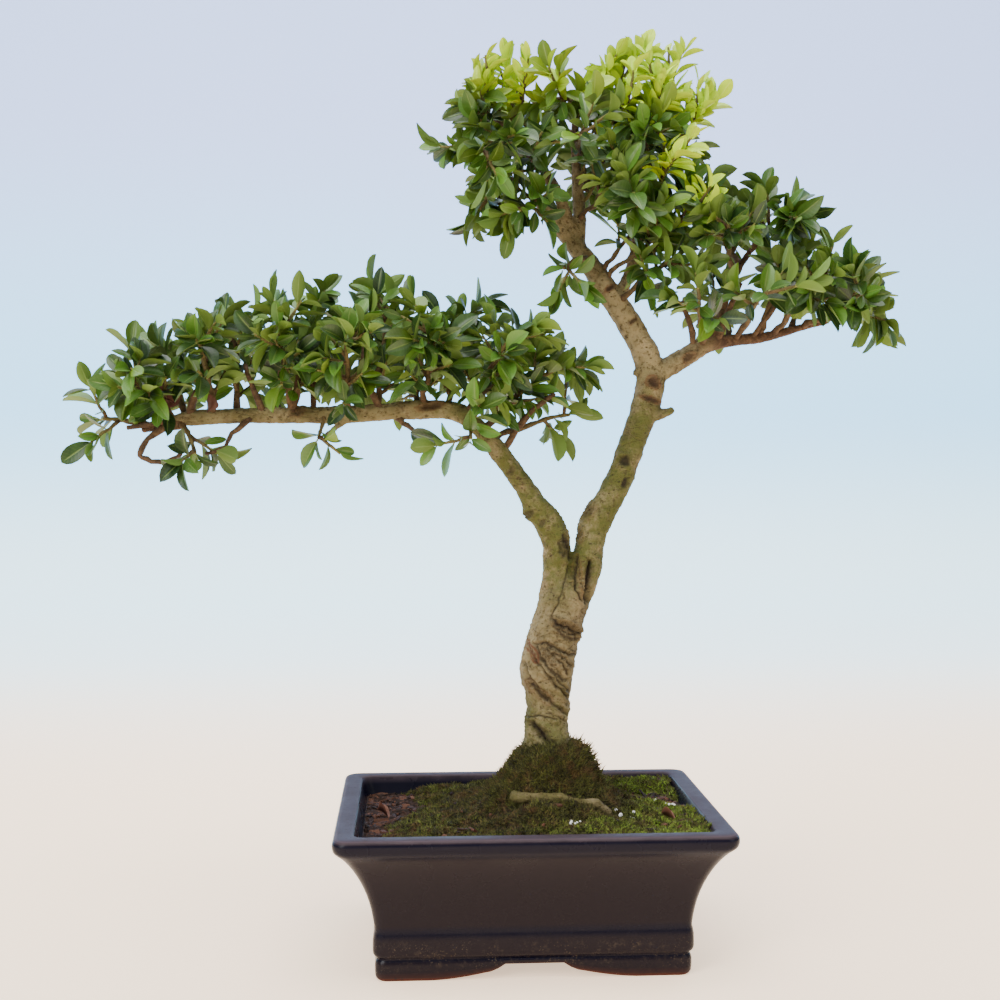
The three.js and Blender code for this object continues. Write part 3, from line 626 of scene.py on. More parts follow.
@dataclass(frozen=True)
class SweepFinish:
    """The pale floor, cream below and pale blue behind; it also glows as painted light, less near the front
    and most behind.
    """

    cream: Colour = colour(254, 226, 196)
    haze: Colour = colour(206, 238, 248)
    blue: Colour = colour(150, 208, 246)
    cool: Colour = colour(162, 182, 228)
    glow: float = 1.8

    def build(self) -> Material:
        """Makes the material.

        Returns:
            The material.
        """
        paint = Paint("studio_sweep")
        where = paint.place()
        height = paint.axis(where, 2)
        far = paint.axis(where, 1).step(100.0, 1300.0)
        shown = paint.blend((far * 0.8 + height.step(0.0, 170.0)).step(0.0, 1.0), self.cream, self.haze)
        shown = paint.blend(height.step(40.0, 330.0), shown, self.blue)
        shown = paint.blend(height.step(330.0, 780.0), shown, self.cool)
        # Painted light: the sweep glows, at 0.6 near the front rising to full strength behind.
        behind = paint.axis(where, 1).step(-100.0, 900.0) * 0.4 + 0.6
        lit = paint.blend(behind, colour(0, 0, 0), shown)
        return paint.dress(
            Base_Color=shown, Roughness=0.9, Specular_IOR_Level=0.1, Emission_Color=lit,
            Emission_Strength=self.glow,
        )


@dataclass
class Finishes:
    """Every material of the scene, made once."""

    glaze: Material = field(default_factory=lambda: GlazeFinish().build())
    screen: Material = field(default_factory=lambda: ScreenFinish().build())
    soil: Material = field(default_factory=lambda: SoilFinish().build())
    chip: Material = field(default_factory=lambda: ChipFinish().build())
    moss: Material = field(default_factory=lambda: MossFinish().build())
    bark: Material = field(default_factory=lambda: BarkFinish().build())
    leaf: Material = field(default_factory=lambda: LeafFinish().build())
    dry: Material = field(default_factory=lambda: DryLeafFinish().build())
    sweep: Material = field(default_factory=lambda: SweepFinish().build())


# Meshes.


class Form:
    """A piece in the making: a bmesh in millimetres about the pot, with numbers on its vertices."""

    def __init__(self, *carried: str) -> None:
        """Starts an empty form.

        Args:
            carried: The names of the numbers that its vertices carry for the materials.
        """
        self.mesh = bmesh.new()
        self.layers = {name: self.mesh.verts.layers.float.new(name) for name in carried}
        self.blade = self.mesh.loops.layers.uv.new("blade")

    def circle(self, sides: int, radius: float, place: Matrix) -> tuple[list[Vert], list[Edge]]:
        """Draws an open circle.

        Args:
            sides: How many sides it has.
            radius: Its radius.
            place: Where it goes.

        Returns:
            Its vertices and its edges.
        """
        ring = bmesh.ops.create_circle(
            self.mesh, segments=sides, radius=radius, cap_ends=False, matrix=place
        )["verts"]
        return ring, list({edge for vertex in ring for edge in vertex.link_edges})

    def extrude(self, edges: list[Edge]) -> tuple[list[Vert], list[Edge], list[Face]]:
        """Extrudes a rim.

        Args:
            edges: The rim.

        Returns:
            The new rim's vertices and edges, and the faces in between.
        """
        grown = bmesh.ops.extrude_edge_only(self.mesh, edges=edges)["geom"]
        ring = [part for part in grown if isinstance(part, Vert)]
        kept = set(ring)
        rim = [part for part in grown if isinstance(part, Edge) and kept.issuperset(part.verts)]
        return ring, rim, [part for part in grown if isinstance(part, Face)]

    def smooth(self) -> None:
        """Shades all the faces smooth."""
        for face in self.mesh.faces:
            face.smooth = True

    def close(self) -> None:
        """Turns all the faces outward and shades them smooth."""
        bmesh.ops.recalc_face_normals(self.mesh, faces=self.mesh.faces[:])
        self.smooth()

    @staticmethod
    def rings(line: Sequence[Station]) -> list[Matrix]:
        """The turned and scaled places of the rings of a stem, carried along without twist.

        Args:
            line: Points of (x, y, z, radius).

        Returns:
            One matrix for each point.
        """
        centres = [Vector(point[:3]) for point in line]
        across = Vector((1.0, 0.0, 0.0))
        found = []
        for i, centre in enumerate(centres):
            along = (centres[min(i + 1, len(centres) - 1)] - centres[max(i - 1, 0)]).normalized()
            across = across - along * across.dot(along)
            if across.length < 0.2:
                across = Vector((0.0, 1.0, 0.0)) - along * along.y
            across.normalize()
            side = along.cross(across)
            radius = line[i][3]
            found.append(turned_to((across * radius, side * radius, along, centre)))
        return found

    def tube(self, line: Sequence[Station], sides: int, material: int = 0, **ends: Pair) -> None:
        """Adds a closed round stem.

        Args:
            line: Points of (x, y, z, radius).
            sides: How many sides it has.
            material: The index of its material.
            ends: For each carried number, its value at the first and the last point.
        """
        places = self.rings(line)
        ring, first = self.circle(sides, 1.0, places[0])
        self.carry(ring, 0.0, ends)
        edges = first
        faces = []
        for i in range(1, len(places)):
            ring, edges, fresh = self.extrude(edges)
            faces += fresh
            bmesh.ops.transform(self.mesh, matrix=places[i] @ places[i - 1].inverted(), verts=ring)
            self.carry(ring, i / (len(places) - 1), ends)
        for rim in (first, edges):
            faces += bmesh.ops.contextual_create(self.mesh, geom=rim)["faces"]
        bmesh.ops.recalc_face_normals(self.mesh, faces=faces)
        for face in faces:
            face.smooth = True
            face.material_index = material

    def carry(self, ring: Iterable[Vert], share: float, ends: dict[str, Pair]) -> None:
        """Writes the carried numbers of one ring.

        Args:
            ring: The ring's vertices.
            share: How far along the stem it is.
            ends: Each number at the first and the last ring.
        """
        for name, (low, high) in ends.items():
            for vertex in ring:
                vertex[self.layers[name]] = mix(low, high, share)

    def stamp(self, template: Mesh, matrix: Matrix, **numbers: float) -> None:
        """Adds a copy of a small mesh.

        Args:
            template: The mesh that is copied.
            matrix: Where the copy goes.
            numbers: The carried numbers of the whole copy.
        """
        copy = template.copy()
        copy.transform(matrix)
        for name, number in numbers.items():
            copy.attributes[name].data.foreach_set("value", [number] * len(copy.vertices))
        self.mesh.from_mesh(copy)
        bpy.data.meshes.remove(copy)

    def template(self, name: str) -> Mesh:
        """Ends the form as a small mesh that others copy.

        Args:
            name: The mesh's name.

        Returns:
            The mesh.
        """
        made = bpy.data.meshes.new(name)
        self.mesh.to_mesh(made)
        self.mesh.free()
        return made

    def piece(self, name: str, slot: Slot, finishes: Sequence[Material], *nodes: str) -> bpy.types.Object:
        """Ends the form as a piece, in metres in the row frame, that stands for the named solids."""
        bmesh.ops.transform(self.mesh, matrix=TO_FRAME, verts=self.mesh.verts[:])
        return show(self.template(name), name, slot, finishes, *nodes)


def show(
    mesh: Mesh, name: str, slot: Slot, finishes: Sequence[Material], *nodes: str
) -> bpy.types.Object:
    """Links a finished mesh, already in the row frame, as a piece that rides on the tree.

    Args:
        mesh: The mesh.
        name: The piece's name.
        slot: The record's material slot; not used.
        finishes: Its materials, by index.
        nodes: The solids that it stands for.

    Returns:
        The object.
    """
    piece = placed(name, mesh)
    for finish in finishes:
        mesh.materials.append(finish)
    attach(piece, "root")
    if nodes:
        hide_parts(*nodes)
    LOG.info("%s: %d faces", name, len(mesh.polygons))
    return piece


def rounded(line: Sequence[Station], steps: int) -> list[Station]:
    """A smooth line through all of a line's points.

    Args:
        line: Points of (x, y, z, radius).
        steps: How many parts each stretch is cut into.

    Returns:
        The finer line.
    """
    points = np.array(line, float)
    padded = np.vstack([2 * points[0] - points[1], points, 2 * points[-1] - points[-2]])
    found = []
    for i in range(1, len(padded) - 2):
        a, b, c, d = padded[i - 1 : i + 3]
        for step in range(steps):
            t = step / steps
            bend = (2 * a - 5 * b + 4 * c - d) * t * t
            found.append(0.5 * (2 * b + (c - a) * t + bend + (3 * b - a - 3 * c + d) * t**3))
    found.append(points[-1])
    return [(float(p[0]), float(p[1]), float(p[2]), float(max(p[3], 0.3))) for p in found]


# The pot.


@dataclass
class Pot:
    """The glazed pot: flared rim, hollow walls, base band, feet left by arches, open drain holes."""

    width: float = 180.0
    depth: float = 140.0
    corner: float = 6.5
    foot_inset: float = 30.6
    underside: float = 7.0
    floor: float = 14.0
    arch_front: float = 46.0
    arch_side: float = 27.0
    arch_flat: float = 0.3
    arch_cusp: float = 0.46
    cusp_height: float = 3.3
    arch_bend: float = 6.8
    under_rim: float = 6.8
    foot_bend: float = 0.74
    band_top: float = 10.0
    drain_radius: float = 8.0
    drain_x: float = 34.0
    outside: tuple[Pair, ...] = (
        (0.0, 19.7), (0.7, 19.0), (1.8, 18.5), (4.3, 18.3), (7.4, 18.3), (8.7, 18.6), (9.6, 19.1),
        (10.4, 18.9), (11.2, 18.0), (12.2, 17.5), (13.8, 17.3), (18.7, 17.4), (21.0, 17.8), (22.4, 18.1),
        (24.0, 18.0), (26.5, 17.7), (29.5, 17.2), (32.5, 16.6), (35.7, 15.8), (39.0, 14.8), (42.5, 13.5),
        (46.0, 12.0), (49.0, 10.5), (52.0, 8.8), (54.6, 7.1), (57.0, 5.3), (58.8, 3.7), (60.2, 2.2),
        (61.3, 1.1), (62.4, 0.45), (63.8, 0.1), (65.2, 0.0), (66.3, 0.15), (67.1, 0.6), (67.7, 1.3),
        (68.0, 2.4),
    )
    inside: tuple[Pair, ...] = (
        (67.95, 8.3), (67.6, 9.0), (66.8, 9.5), (64.0, 10.3), (60.0, 11.4), (54.0, 14.6), (47.0, 19.2),
        (38.0, 22.6), (30.0, 24.6), (21.0, 25.5), (14.0, 26.0),
    )
    side_steps: tuple[int, int] = (40, 28)
    corner_steps: int = 7
    crease_angle: float = 0.75
    under_insets: Pair = (27.0, 23.0)
    bare_levels: Pair = (2.4, 0.6)
    # Levels of the rim's edges: worn glaze that also carries a painted highlight.
    worn_and_highlight_levels: Pair = (66.5, 67.9)
    drain_sides: int = 32
    order: list[Vert] = field(default_factory=list)

    def arch(self, along: float, half: float) -> float:
        """How high the cut under one side reaches.

        Args:
            along: The distance from the side's middle.
            half: Where the cut ends.

        Returns:
            The height over the table.
        """
        share = abs(along) / half
        top = self.underside - 0.15
        if share >= 1:
            return 0.0
        if share > self.arch_cusp:
            # Solves the outer curve of the cut for how far along it this place is.
            a, b, c = 1 - 2 * self.foot_bend + self.arch_cusp, 2 * (self.foot_bend - 1), 1 - share
            t = (-b - math.sqrt(max(0.0, b * b - 4 * a * c))) / (2 * a)
            return t * (1 - t) + self.cusp_height * t * t
        if share > self.arch_flat:
            t = (self.arch_cusp - share) / (self.arch_cusp - self.arch_flat)
            return self.cusp_height * (1 - t) ** 2 + self.arch_bend * t * (1 - t) + top * t * t
        return top

    def outline(self, inset: float) -> list[Pair]:
        """A rectangle with round corners, a distance in from the rim's own.

        Args:
            inset: That distance.

        Returns:
            The points of the ring, always as many.
        """
        radius = max(3.0, self.corner - inset * 0.1)
        wide, deep = self.width / 2 - inset - radius, self.depth / 2 - inset - radius
        corners = ((wide, deep), (-wide, deep), (-wide, -deep), (wide, -deep))
        found = []
        for quarter, (x, y) in enumerate(corners):
            for step in range(self.corner_steps + 1):
                turn = math.pi / 2 * (quarter + step / self.corner_steps)
                found.append((x + radius * math.cos(turn), y + radius * math.sin(turn)))
            start = found[-1]
            x, y = corners[(quarter + 1) % 4]
            turn = math.pi / 2 * (quarter + 1)
            end = (x + radius * math.cos(turn), y + radius * math.sin(turn))
            steps = self.side_steps[quarter % 2]
            for share in (step / steps for step in range(1, steps)):
                found.append((mix(start[0], end[0], share), mix(start[1], end[1], share)))
        return found

    def lifted(self, point: Pair, level: float) -> float:
        """A level of the outside, moved up where an arch cuts the foot."""
        foot = max(self.arch(point[0], self.arch_front), self.arch(point[1], self.arch_side))
        return level if level >= self.band_top else mix(foot, self.band_top, level / self.band_top)

    def ring(
        self, form: Form, edges: list[Edge], inset: float, height: Callable[[Pair], float]
    ) -> list[Edge]:
        """Extrudes a ring of the wall and puts it in its place.

        Args:
            form: The form.
            edges: The ring that it grows from.
            inset: How far in from the rim it lies.
            height: The height at a point of the ring.

        Returns:
            The new ring's edges; its vertices are in self.order, in the order of the outline.
        """
        fresh, edges, _ = form.extrude(edges)
        above = {edge.other_vert(vertex): vertex for vertex in fresh for edge in vertex.link_edges}
        self.order = [above[vertex] for vertex in self.order]
        for vertex, point in zip(self.order, self.outline(inset)):
            vertex.co = (point[0], point[1], height(point))
        return edges

    def wall(self, form: Form) -> tuple[list[Edge], list[Edge]]:
        """Draws the whole wall, from the underside out, up and down again inside.

        Args:
            form: The form.

        Returns:
            The rims round the underside and round the inner floor.
        """
        bare, edge = form.layers["bare"], form.layers["edge"]
        # The edge number marks the rim's worn edges, which also carry a painted highlight.
        edge_from, edge_to = self.worn_and_highlight_levels
        outline = self.outline(self.foot_inset)
        start, under = form.circle(len(outline), 1.0, Matrix())
        for vertex, point in zip(start, outline):
            vertex.co = (point[0], point[1], self.underside)
        self.order = list(start)
        rim = self.ring(form, under, self.foot_inset, lambda p: min(self.lifted(p, 0.0), self.under_rim))
        for inset in self.under_insets:
            rim = self.ring(form, rim, inset, lambda p: self.lifted(p, 0.0))
            for vertex in self.order:
                vertex[bare] = 1.0
        for level, inset in self.outside:
            rim = self.ring(form, rim, inset, lambda p, level=level: self.lifted(p, level))
            for vertex in self.order:
                vertex[bare] = smooth(*self.bare_levels, level)
                vertex[edge] = 1.0 if edge_from < level < edge_to else 0.0
        for level, inset in self.inside:
            rim = self.ring(form, rim, inset, lambda p, level=level: level)
            for vertex in self.order:
                vertex[edge] = 1.0 if edge_from < level < edge_to else 0.0
        return under, rim

    def build(self, finishes: Finishes) -> None:
        """Makes the pot and dresses the two drain screens.

        Args:
            finishes: The materials.
        """
        form = Form("bare", "edge")
        under, floor = self.wall(form)
        holes: list[list[list[Edge]]] = []
        for rim, level in ((under, self.underside), (floor, self.floor)):
            circles = []
            for side in (-1, 1):
                place = Matrix.Translation((side * self.drain_x, 0.0, level))
                circles.append(form.circle(self.drain_sides, self.drain_radius, place)[1])
            loops = rim + circles[0] + circles[1]
            bmesh.ops.triangle_fill(form.mesh, use_beauty=True, use_dissolve=False, edges=loops)
            holes.append(circles)
        for side in (0, 1):
            bmesh.ops.bridge_loops(form.mesh, edges=holes[0][side] + holes[1][side])
        form.close()
        for edge in form.mesh.edges:
            if len(edge.link_faces) == 2 and edge.calc_face_angle(0.0) > self.crease_angle:
                edge.smooth = False
        form.piece("pot_glazed", Slot.GLAZE, [finishes.glaze], "pot")
        for name in ("drain_screen_left", "drain_screen_right"):
            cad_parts[name].material_slots[0].material = finishes.screen


# The ground.


@dataclass(frozen=True)
class BarePatch:
    """A place where the moss thins out and the peat shows."""

    x: float
    y: float
    reach_x: float
    reach_y: float
    depth: float


@dataclass
class Ground:
    """Peat with a mound round the trunk's foot, its moss, and what lies on it."""

    level: float = 59.5
    rise: float = 0.02
    mound_height: float = 40.0
    mound_reach: float = 23.0
    mound_x: float = 10.0
    mound_y: float = -4.0
    moss_thick: float = 5.2
    top: float = 98.0
    room: tuple[Pair, ...] = ((59.0, 12.2), (50.0, 17.9), (40.0, 22.4), (30.0, 25.1), (14.4, 26.5))
    top_inset: float = 11.0
    cells: tuple[int, int] = (124, 96)
    chip_sizes: tuple[Triple, ...] = (
        (7.5, 3.6, 1.3), (5.2, 3.4, 1.6), (4.0, 2.2, 1.1), (3.0, 2.4, 1.8), (9.0, 2.0, 1.0), (2.2, 1.8, 1.5),
    )
    chip_count: int = 640
    moss_tufts: int = 3600
    mound_tufts: int = 2100
    quick_share: float = 0.4
    flat_reach: Pair = (79.0, 59.0)
    chip_reach: Pair = (77.0, 57.0)
    chips_clear: float = 34.0
    trunk_room: float = 9.0
    hump: Pair = (26.0, -2.0)
    grain_spots: tuple[tuple[float, float, float, int, float], ...] = (
        (66.0, 4.0, 3.0, 12, 2.0), (70.0, -4.0, 3.0, 9, 2.0), (60.0, 12.0, 4.0, 14, 0.0),
        (56.0, 6.0, 3.0, 9, 0.1), (18.0, -50.0, 2.5, 8, 2.0), (44.0, -30.0, 5.0, 5, 2.0),
        (-10.0, -30.0, 40.0, 7, 0.8), (48.0, 30.0, 14.0, 16, 0.3),
    )
    patches: tuple[BarePatch, ...] = (
        BarePatch(-76, 30, 26, 34, 11),
        BarePatch(-84, -30, 17, 20, 11),
        BarePatch(50, 32, 24, 11, 9),
        BarePatch(76, 12, 9, 12, 9),
        BarePatch(12, -33, 27, 5, 5.6),
    )

    def soil_at(self, x: float, y: float) -> float:
        """The peat's height at a place.

        Args:
            x: The place across.
            y: The place along.

        Returns:
            The height.
        """
        away = math.hypot(x - self.mound_x, (y - self.mound_y) * 0.7)
        mound = self.mound_height * math.exp(-((away / self.mound_reach) ** 1.8))
        return self.level + self.rise * x + 0.6 * math.sin(x * 0.21 + 1) * math.cos(y * 0.27) + mound

    def near_hump(self, x: float, y: float, spread: float) -> float:
        """How near a place is to the hump of long moss beside the trunk, from 0 to 1."""
        return math.exp(-((x - self.hump[0]) ** 2 + (y - self.hump[1]) ** 2) / spread)

    def lumpy_moss(self, x: float, y: float) -> float:
        """How thick the moss is with its own lumps."""
        return self.moss_at(x, y) + 1.1 * noise.noise(Vector((x, y, 3.0)) * 0.16)

    def moss_at(self, x: float, y: float) -> float:
        """How thick the moss is on the peat.

        Args:
            x: The place across.
            y: The place along.

        Returns:
            The thickness, below nothing where the peat shows.
        """
        thick = self.moss_thick + 1.1 * math.sin(x * 0.17 + y * 0.11) * math.sin(y * 0.23 - 1)
        thick += 5 * self.near_hump(x, y, 70)
        for patch in self.patches:
            far = ((x - patch.x) / patch.reach_x) ** 2 + ((y - patch.y) / patch.reach_y) ** 2
            thick -= patch.depth * math.exp(-far)
        return thick

    def capped(self, z: float) -> float:
        """A height of the moss, held down softly where it climbs the trunk."""
        return z if z < self.top - 6 else self.top - 6 * math.exp(-(z - self.top + 6) / 6)

    def top_at(self, x: float, y: float) -> float:
        """The height of whatever is on top."""
        thick = self.lumpy_moss(x, y)
        return self.capped(self.soil_at(x, y) + (thick if thick > 0.3 else 0.0))

    def inside(self, x: float, y: float, inset: float) -> Pair:
        """A place of the square from -1 to 1, spread over the pot's room with its round corners.

        Args:
            x: The place across the square.
            y: The place along it.
            inset: How far in from the rim the room's wall is.

        Returns:
            The place in millimetres.
        """
        wide, deep, corner = 90.0 - inset, 70.0 - inset, 5.5
        px, py = x * wide, y * deep
        over_x, over_y = abs(px) - (wide - corner), abs(py) - (deep - corner)
        if over_x > 0 and over_y > 0:
            far = math.hypot(over_x, over_y)
            if far > corner:
                px = math.copysign(wide - corner + over_x * corner / far, px)
                py = math.copysign(deep - corner + over_y * corner / far, py)
        return px, py

    def block(
        self, height: Callable[[float, float], float], levels: Sequence[Pair], *carried: str
    ) -> Form:
        """A closed block that fills the pot's room up to a height.

        Args:
            height: The height of its top at a place.
            levels: Its side's levels below the top, with how far in from the rim each lies.
            carried: The numbers that its vertices carry.

        Returns:
            The form.
        """
        form = Form(*carried)
        bmesh.ops.create_grid(form.mesh, x_segments=self.cells[0], y_segments=self.cells[1], size=1.0)
        rim = [edge for edge in form.mesh.edges if edge.is_boundary]
        square = {vertex: (vertex.co.x, vertex.co.y) for vertex in form.mesh.verts}
        order = {vertex: square[vertex] for edge in rim for vertex in edge.verts}
        for vertex, (x, y) in square.items():
            px, py = self.inside(x, y, self.top_inset)
            vertex.co = (px, py, height(px, py))
        for level, inset in levels:
            fresh, rim, _ = form.extrude(rim)
            placed = {}
            for vertex in fresh:
                above = next(o for e in vertex.link_edges if (o := e.other_vert(vertex)) in order)
                placed[vertex] = order[above]
                px, py = self.inside(*order[above], inset)
                vertex.co = (px, py, level)
            order = placed
        bmesh.ops.contextual_create(form.mesh, geom=rim)
        form.close()
        return form

    def crumbed(self, x: float, y: float) -> float:
        """The peat's height with its crumbs.

        Args:
            x: The place across.
            y: The place along.

        Returns:
            The height.
        """
        place = Vector((x, y, 0.0))
        crumbs = noise.fractal(place * 0.35, 0.7, 2.0, 4)
        return self.soil_at(x, y) + 1.0 * crumbs + 0.5 * noise.noise(place * 0.12)

    def tufted(self, x: float, y: float) -> float:
        """The moss's height, just under the tips of its sprigs.

        Args:
            x: The place across.
            y: The place along.

        Returns:
            The height, or one hidden in the peat where it is bare.
        """
        place = Vector((x, y, 7.0))
        thick = self.lumpy_moss(x, y)
        lumps = 0.9 * noise.noise(place * 0.45) + 0.6 * noise.noise(place * 1.1)
        if thick < 0.3:
            return self.soil_at(x, y) - 2.5
        return self.capped(self.soil_at(x, y) + thick) - 1.0 + lumps * min(1.0, thick / 3)

    def build(self, finishes: Finishes) -> None:
        """Makes the peat, the moss with its sprigs, and what has fallen on them.

        Args:
            finishes: The materials.
        """
        soil = self.block(self.crumbed, self.room)
        soil.piece("soil_bed", Slot.SOIL, [finishes.soil], "soil")
        low = ((56.0, 12.8), (54.0, 15.0))
        moss = self.block(self.tufted, low, "tint", "light")
        for vertex in moss.mesh.verts:
            vertex[moss.layers["tint"]] = 0.25
            vertex[moss.layers["light"]] = self.light_at(vertex.co.x, vertex.co.y) * 0.6
        moss.piece("moss_carpet", Slot.MOSS, [finishes.moss], "moss")
        self.sprigs(finishes)
        self.chips(finishes)
        self.litter(finishes)

    def light_at(self, x: float, y: float) -> float:
        """How bright the moss is painted, as painted light and shade: dark on the mound, brightest on the
        flat at the right.

        Args:
            x: The place across.
            y: The place along.

        Returns:
            The brightness, from 0 to 1.
        """
        away = math.hypot((x - self.mound_x) * 0.9, (y - self.mound_y) * 0.8)
        flat = smooth(24.0, 52.0, away + 9 * noise.noise(Vector((x, y, 1.0)) * 0.09))
        right = mix(0.32, 1.2, smooth(-20.0, 50.0, x))
        cloudy = 0.5 + 0.8 * noise.noise(Vector((x, y, 9.0)) * 0.13)
        return min(1.0, max(0.0, flat * right * (0.3 + 0.75 * cloudy)))

    def fall(self, x: float, y: float, reach: float) -> Pair:
        """How far the ground falls from one side of a place to the other, along x and y."""
        fall_x = self.top_at(x - reach, y) - self.top_at(x + reach, y)
        return fall_x, self.top_at(x, y - reach) - self.top_at(x, y + reach)

    def upright(self, x: float, y: float, lean: float, draw: Draw) -> Matrix:
        """A place on top of the ground, square to it but for a lean of its own.

        Args:
            x: The place across.
            y: The place along.
            lean: How far it may lean, in radians.
            draw: The run of numbers.

        Returns:
            The matrix.
        """
        z = self.top_at(x, y)
        fall_x, fall_y = self.fall(x, y, 1.5)
        slope = Vector((fall_x, fall_y, 3.0)).normalized() + Vector((0.0, 0.0, 0.35))
        turned = slope.to_track_quat("Z", "Y").to_matrix().to_4x4()
        tilt = Matrix.Rotation(lean * draw(), 4, "X")
        return Matrix.Translation((x, y, z)) @ turned @ Matrix.Rotation(2 * math.pi * draw(), 4, "Z") @ tilt

    @staticmethod
    def tuft(name: str, seed: int, count: int, spread: float, tall: Pair, foot: float) -> Mesh:
        """A small tuft of three-sided sprigs.

        Args:
            name: The template's name.
            seed: The seed of its run of numbers.
            count: How many sprigs it has.
            spread: How wide it is.
            tall: The shortest and the longest sprig.
            foot: A sprig's radius at its foot.

        Returns:
            The template.
        """
        draw = Draw(SEED + seed * 37)
        form = Form("tint", "light")
        for _ in range(count):
            away, turn = spread * math.sqrt(draw()), 2 * math.pi * draw()
            height = draw.between(*tall)
            lean = Matrix.Rotation(draw.between(-0.9, 0.9), 4, "X")
            lean = lean @ Matrix.Rotation(draw.between(-0.9, 0.9), 4, "Y")
            place = Matrix.Translation((away * math.cos(turn), away * math.sin(turn), -0.8)) @ lean
            place = place @ Matrix.Translation((0.0, 0.0, height / 2))
            bmesh.ops.create_cone(
                form.mesh, cap_ends=True, segments=3, radius1=foot, radius2=0.0, depth=height, matrix=place
            )
        return form.template(name)

    def sprigs(self, finishes: Finishes) -> None:
        """Sets the flats with short bright tufts, and the mound with longer dark ones.

        Args:
            finishes: The materials.
        """
        short = [self.tuft(f"moss_tuft_{i}", i, 10, 2.3, (1.5, 2.7), 0.46) for i in range(6)]
        long = [self.tuft(f"mound_tuft_{i}", 20 + i, 9, 2.4, (1.8, 4.6), 0.46) for i in range(6)]
        share = 1.0
        self.tufts("moss_sprigs", short, int(self.moss_tufts * share), False, finishes)
        self.tufts("mound_sprigs", long, int(self.mound_tufts * share), True, finishes)

    def tufts(
        self, name: str, kinds: Sequence[Mesh], wanted: int, mound: bool, finishes: Finishes
    ) -> None:
        """Sets tufts on the mound or on the flats round it.

        Args:
            name: The piece's name.
            kinds: The templates.
            wanted: How many tufts there are.
            mound: Whether they stand on the mound.
            finishes: The materials.
        """
        draw = Draw(SEED + (6 if mound else 5))
        wide, deep = self.flat_reach
        form = Form("tint", "light")
        placed = 0
        while placed < wanted:
            if mound:
                reach, turn = 36.0 * math.sqrt(draw()), 2 * math.pi * draw()
                x, y = self.mound_x + reach * math.cos(turn), self.mound_y + 1.25 * reach * math.sin(turn)
            else:
                x, y = draw.between(-wide, wide), draw.between(-deep, deep)
            away = math.hypot(x - self.mound_x, (y - self.mound_y) * 0.8)
            steep = math.hypot(*self.fall(x, y, 1)) / 2
            edge = 30 + 9 * noise.noise(Vector((x, y, 4.0)) * 0.1)
            in_trunk = math.hypot(x - self.mound_x, y) < self.trunk_room
            if (away < edge) != mound or in_trunk or abs(y) > deep or draw() * 2.4 > 1 + steep:
                continue
            if self.moss_at(x, y) < 0.7 + 1.3 * draw():
                continue
            kind = kinds[int(draw() * 6) % 6]
            shaggy = 0.7 * self.near_hump(x, y, 90)
            matrix = self.upright(x, y, 0.35, draw) @ Matrix.Scale(draw.between(0.75, 1.2) * (1 + shaggy), 4)
            # Each tuft takes the painted light and shade of its place.
            light = min(1.0, self.light_at(x, y) * draw.between(0.7, 1.3))
            tint = draw() ** (0.8 if mound else 1.2)
            form.stamp(kind, matrix, tint=tint, light=max(light, 0.16 if mound else 0.1))
            placed += 1
        form.piece(name, Slot.MOSS, [finishes.moss])

    @staticmethod
    def chip(name: str, seed: int, size: Triple) -> Mesh:
        """A worn flake of bark.

        Args:
            name: The template's name.
            seed: The seed of its run of numbers.
            size: Its length, width and thickness.

        Returns:
            The template.
        """
        draw = Draw(SEED + seed * 53)
        form = Form("tint")
        bmesh.ops.create_cube(form.mesh, size=1.0, matrix=Matrix.Diagonal((*size, 1.0)))
        half = size[0] * 0.5
        along = [e for e in form.mesh.edges if abs((e.verts[0].co - e.verts[1].co).x) > half]
        bmesh.ops.subdivide_edges(form.mesh, edges=along, cuts=2)
        bmesh.ops.bevel(
            form.mesh, geom=form.mesh.edges[:], offset=min(size) * 0.22, offset_type="OFFSET", affect="EDGES",
            segments=1, profile=0.5, material=-1,
        )
        for vertex in form.mesh.verts:
            for axis in range(3):
                vertex.co[axis] += size[axis] * draw.between(-0.09, 0.09)
            vertex.co.z += 0.12 * (vertex.co.x**2) / size[0]
        bmesh.ops.recalc_face_normals(form.mesh, faces=form.mesh.faces[:])
        return form.template(name)

    def chips(self, finishes: Finishes) -> None:
        """Strews the bare peat with bark chips and crumbs.

        Args:
            finishes: The materials.
        """
        kinds = [self.chip(f"bark_chip_{i}", i, size) for i, size in enumerate(self.chip_sizes)]
        draw = Draw(SEED + 11)
        form = Form("tint")
        wide, deep = self.chip_reach
        placed = 0
        while placed < self.chip_count:
            x, y = draw.between(-wide, wide), draw.between(-deep, deep)
            if self.moss_at(x, y) > 0.6:
                if draw() > 0.005 or math.hypot(x - self.mound_x, y) < self.chips_clear:
                    continue
            kind = kinds[min(5, int((draw() ** 0.8) * 6))]
            tilt = self.upright(x, y, 0.8, draw) @ Matrix.Scale(draw.between(0.3, 0.9), 4)
            form.stamp(kind, Matrix.Translation((0.0, 0.0, 0.3)) @ tilt, tint=draw() ** 1.6)
            placed += 1
        form.piece("soil_chips", Slot.SOIL, [finishes.chip])

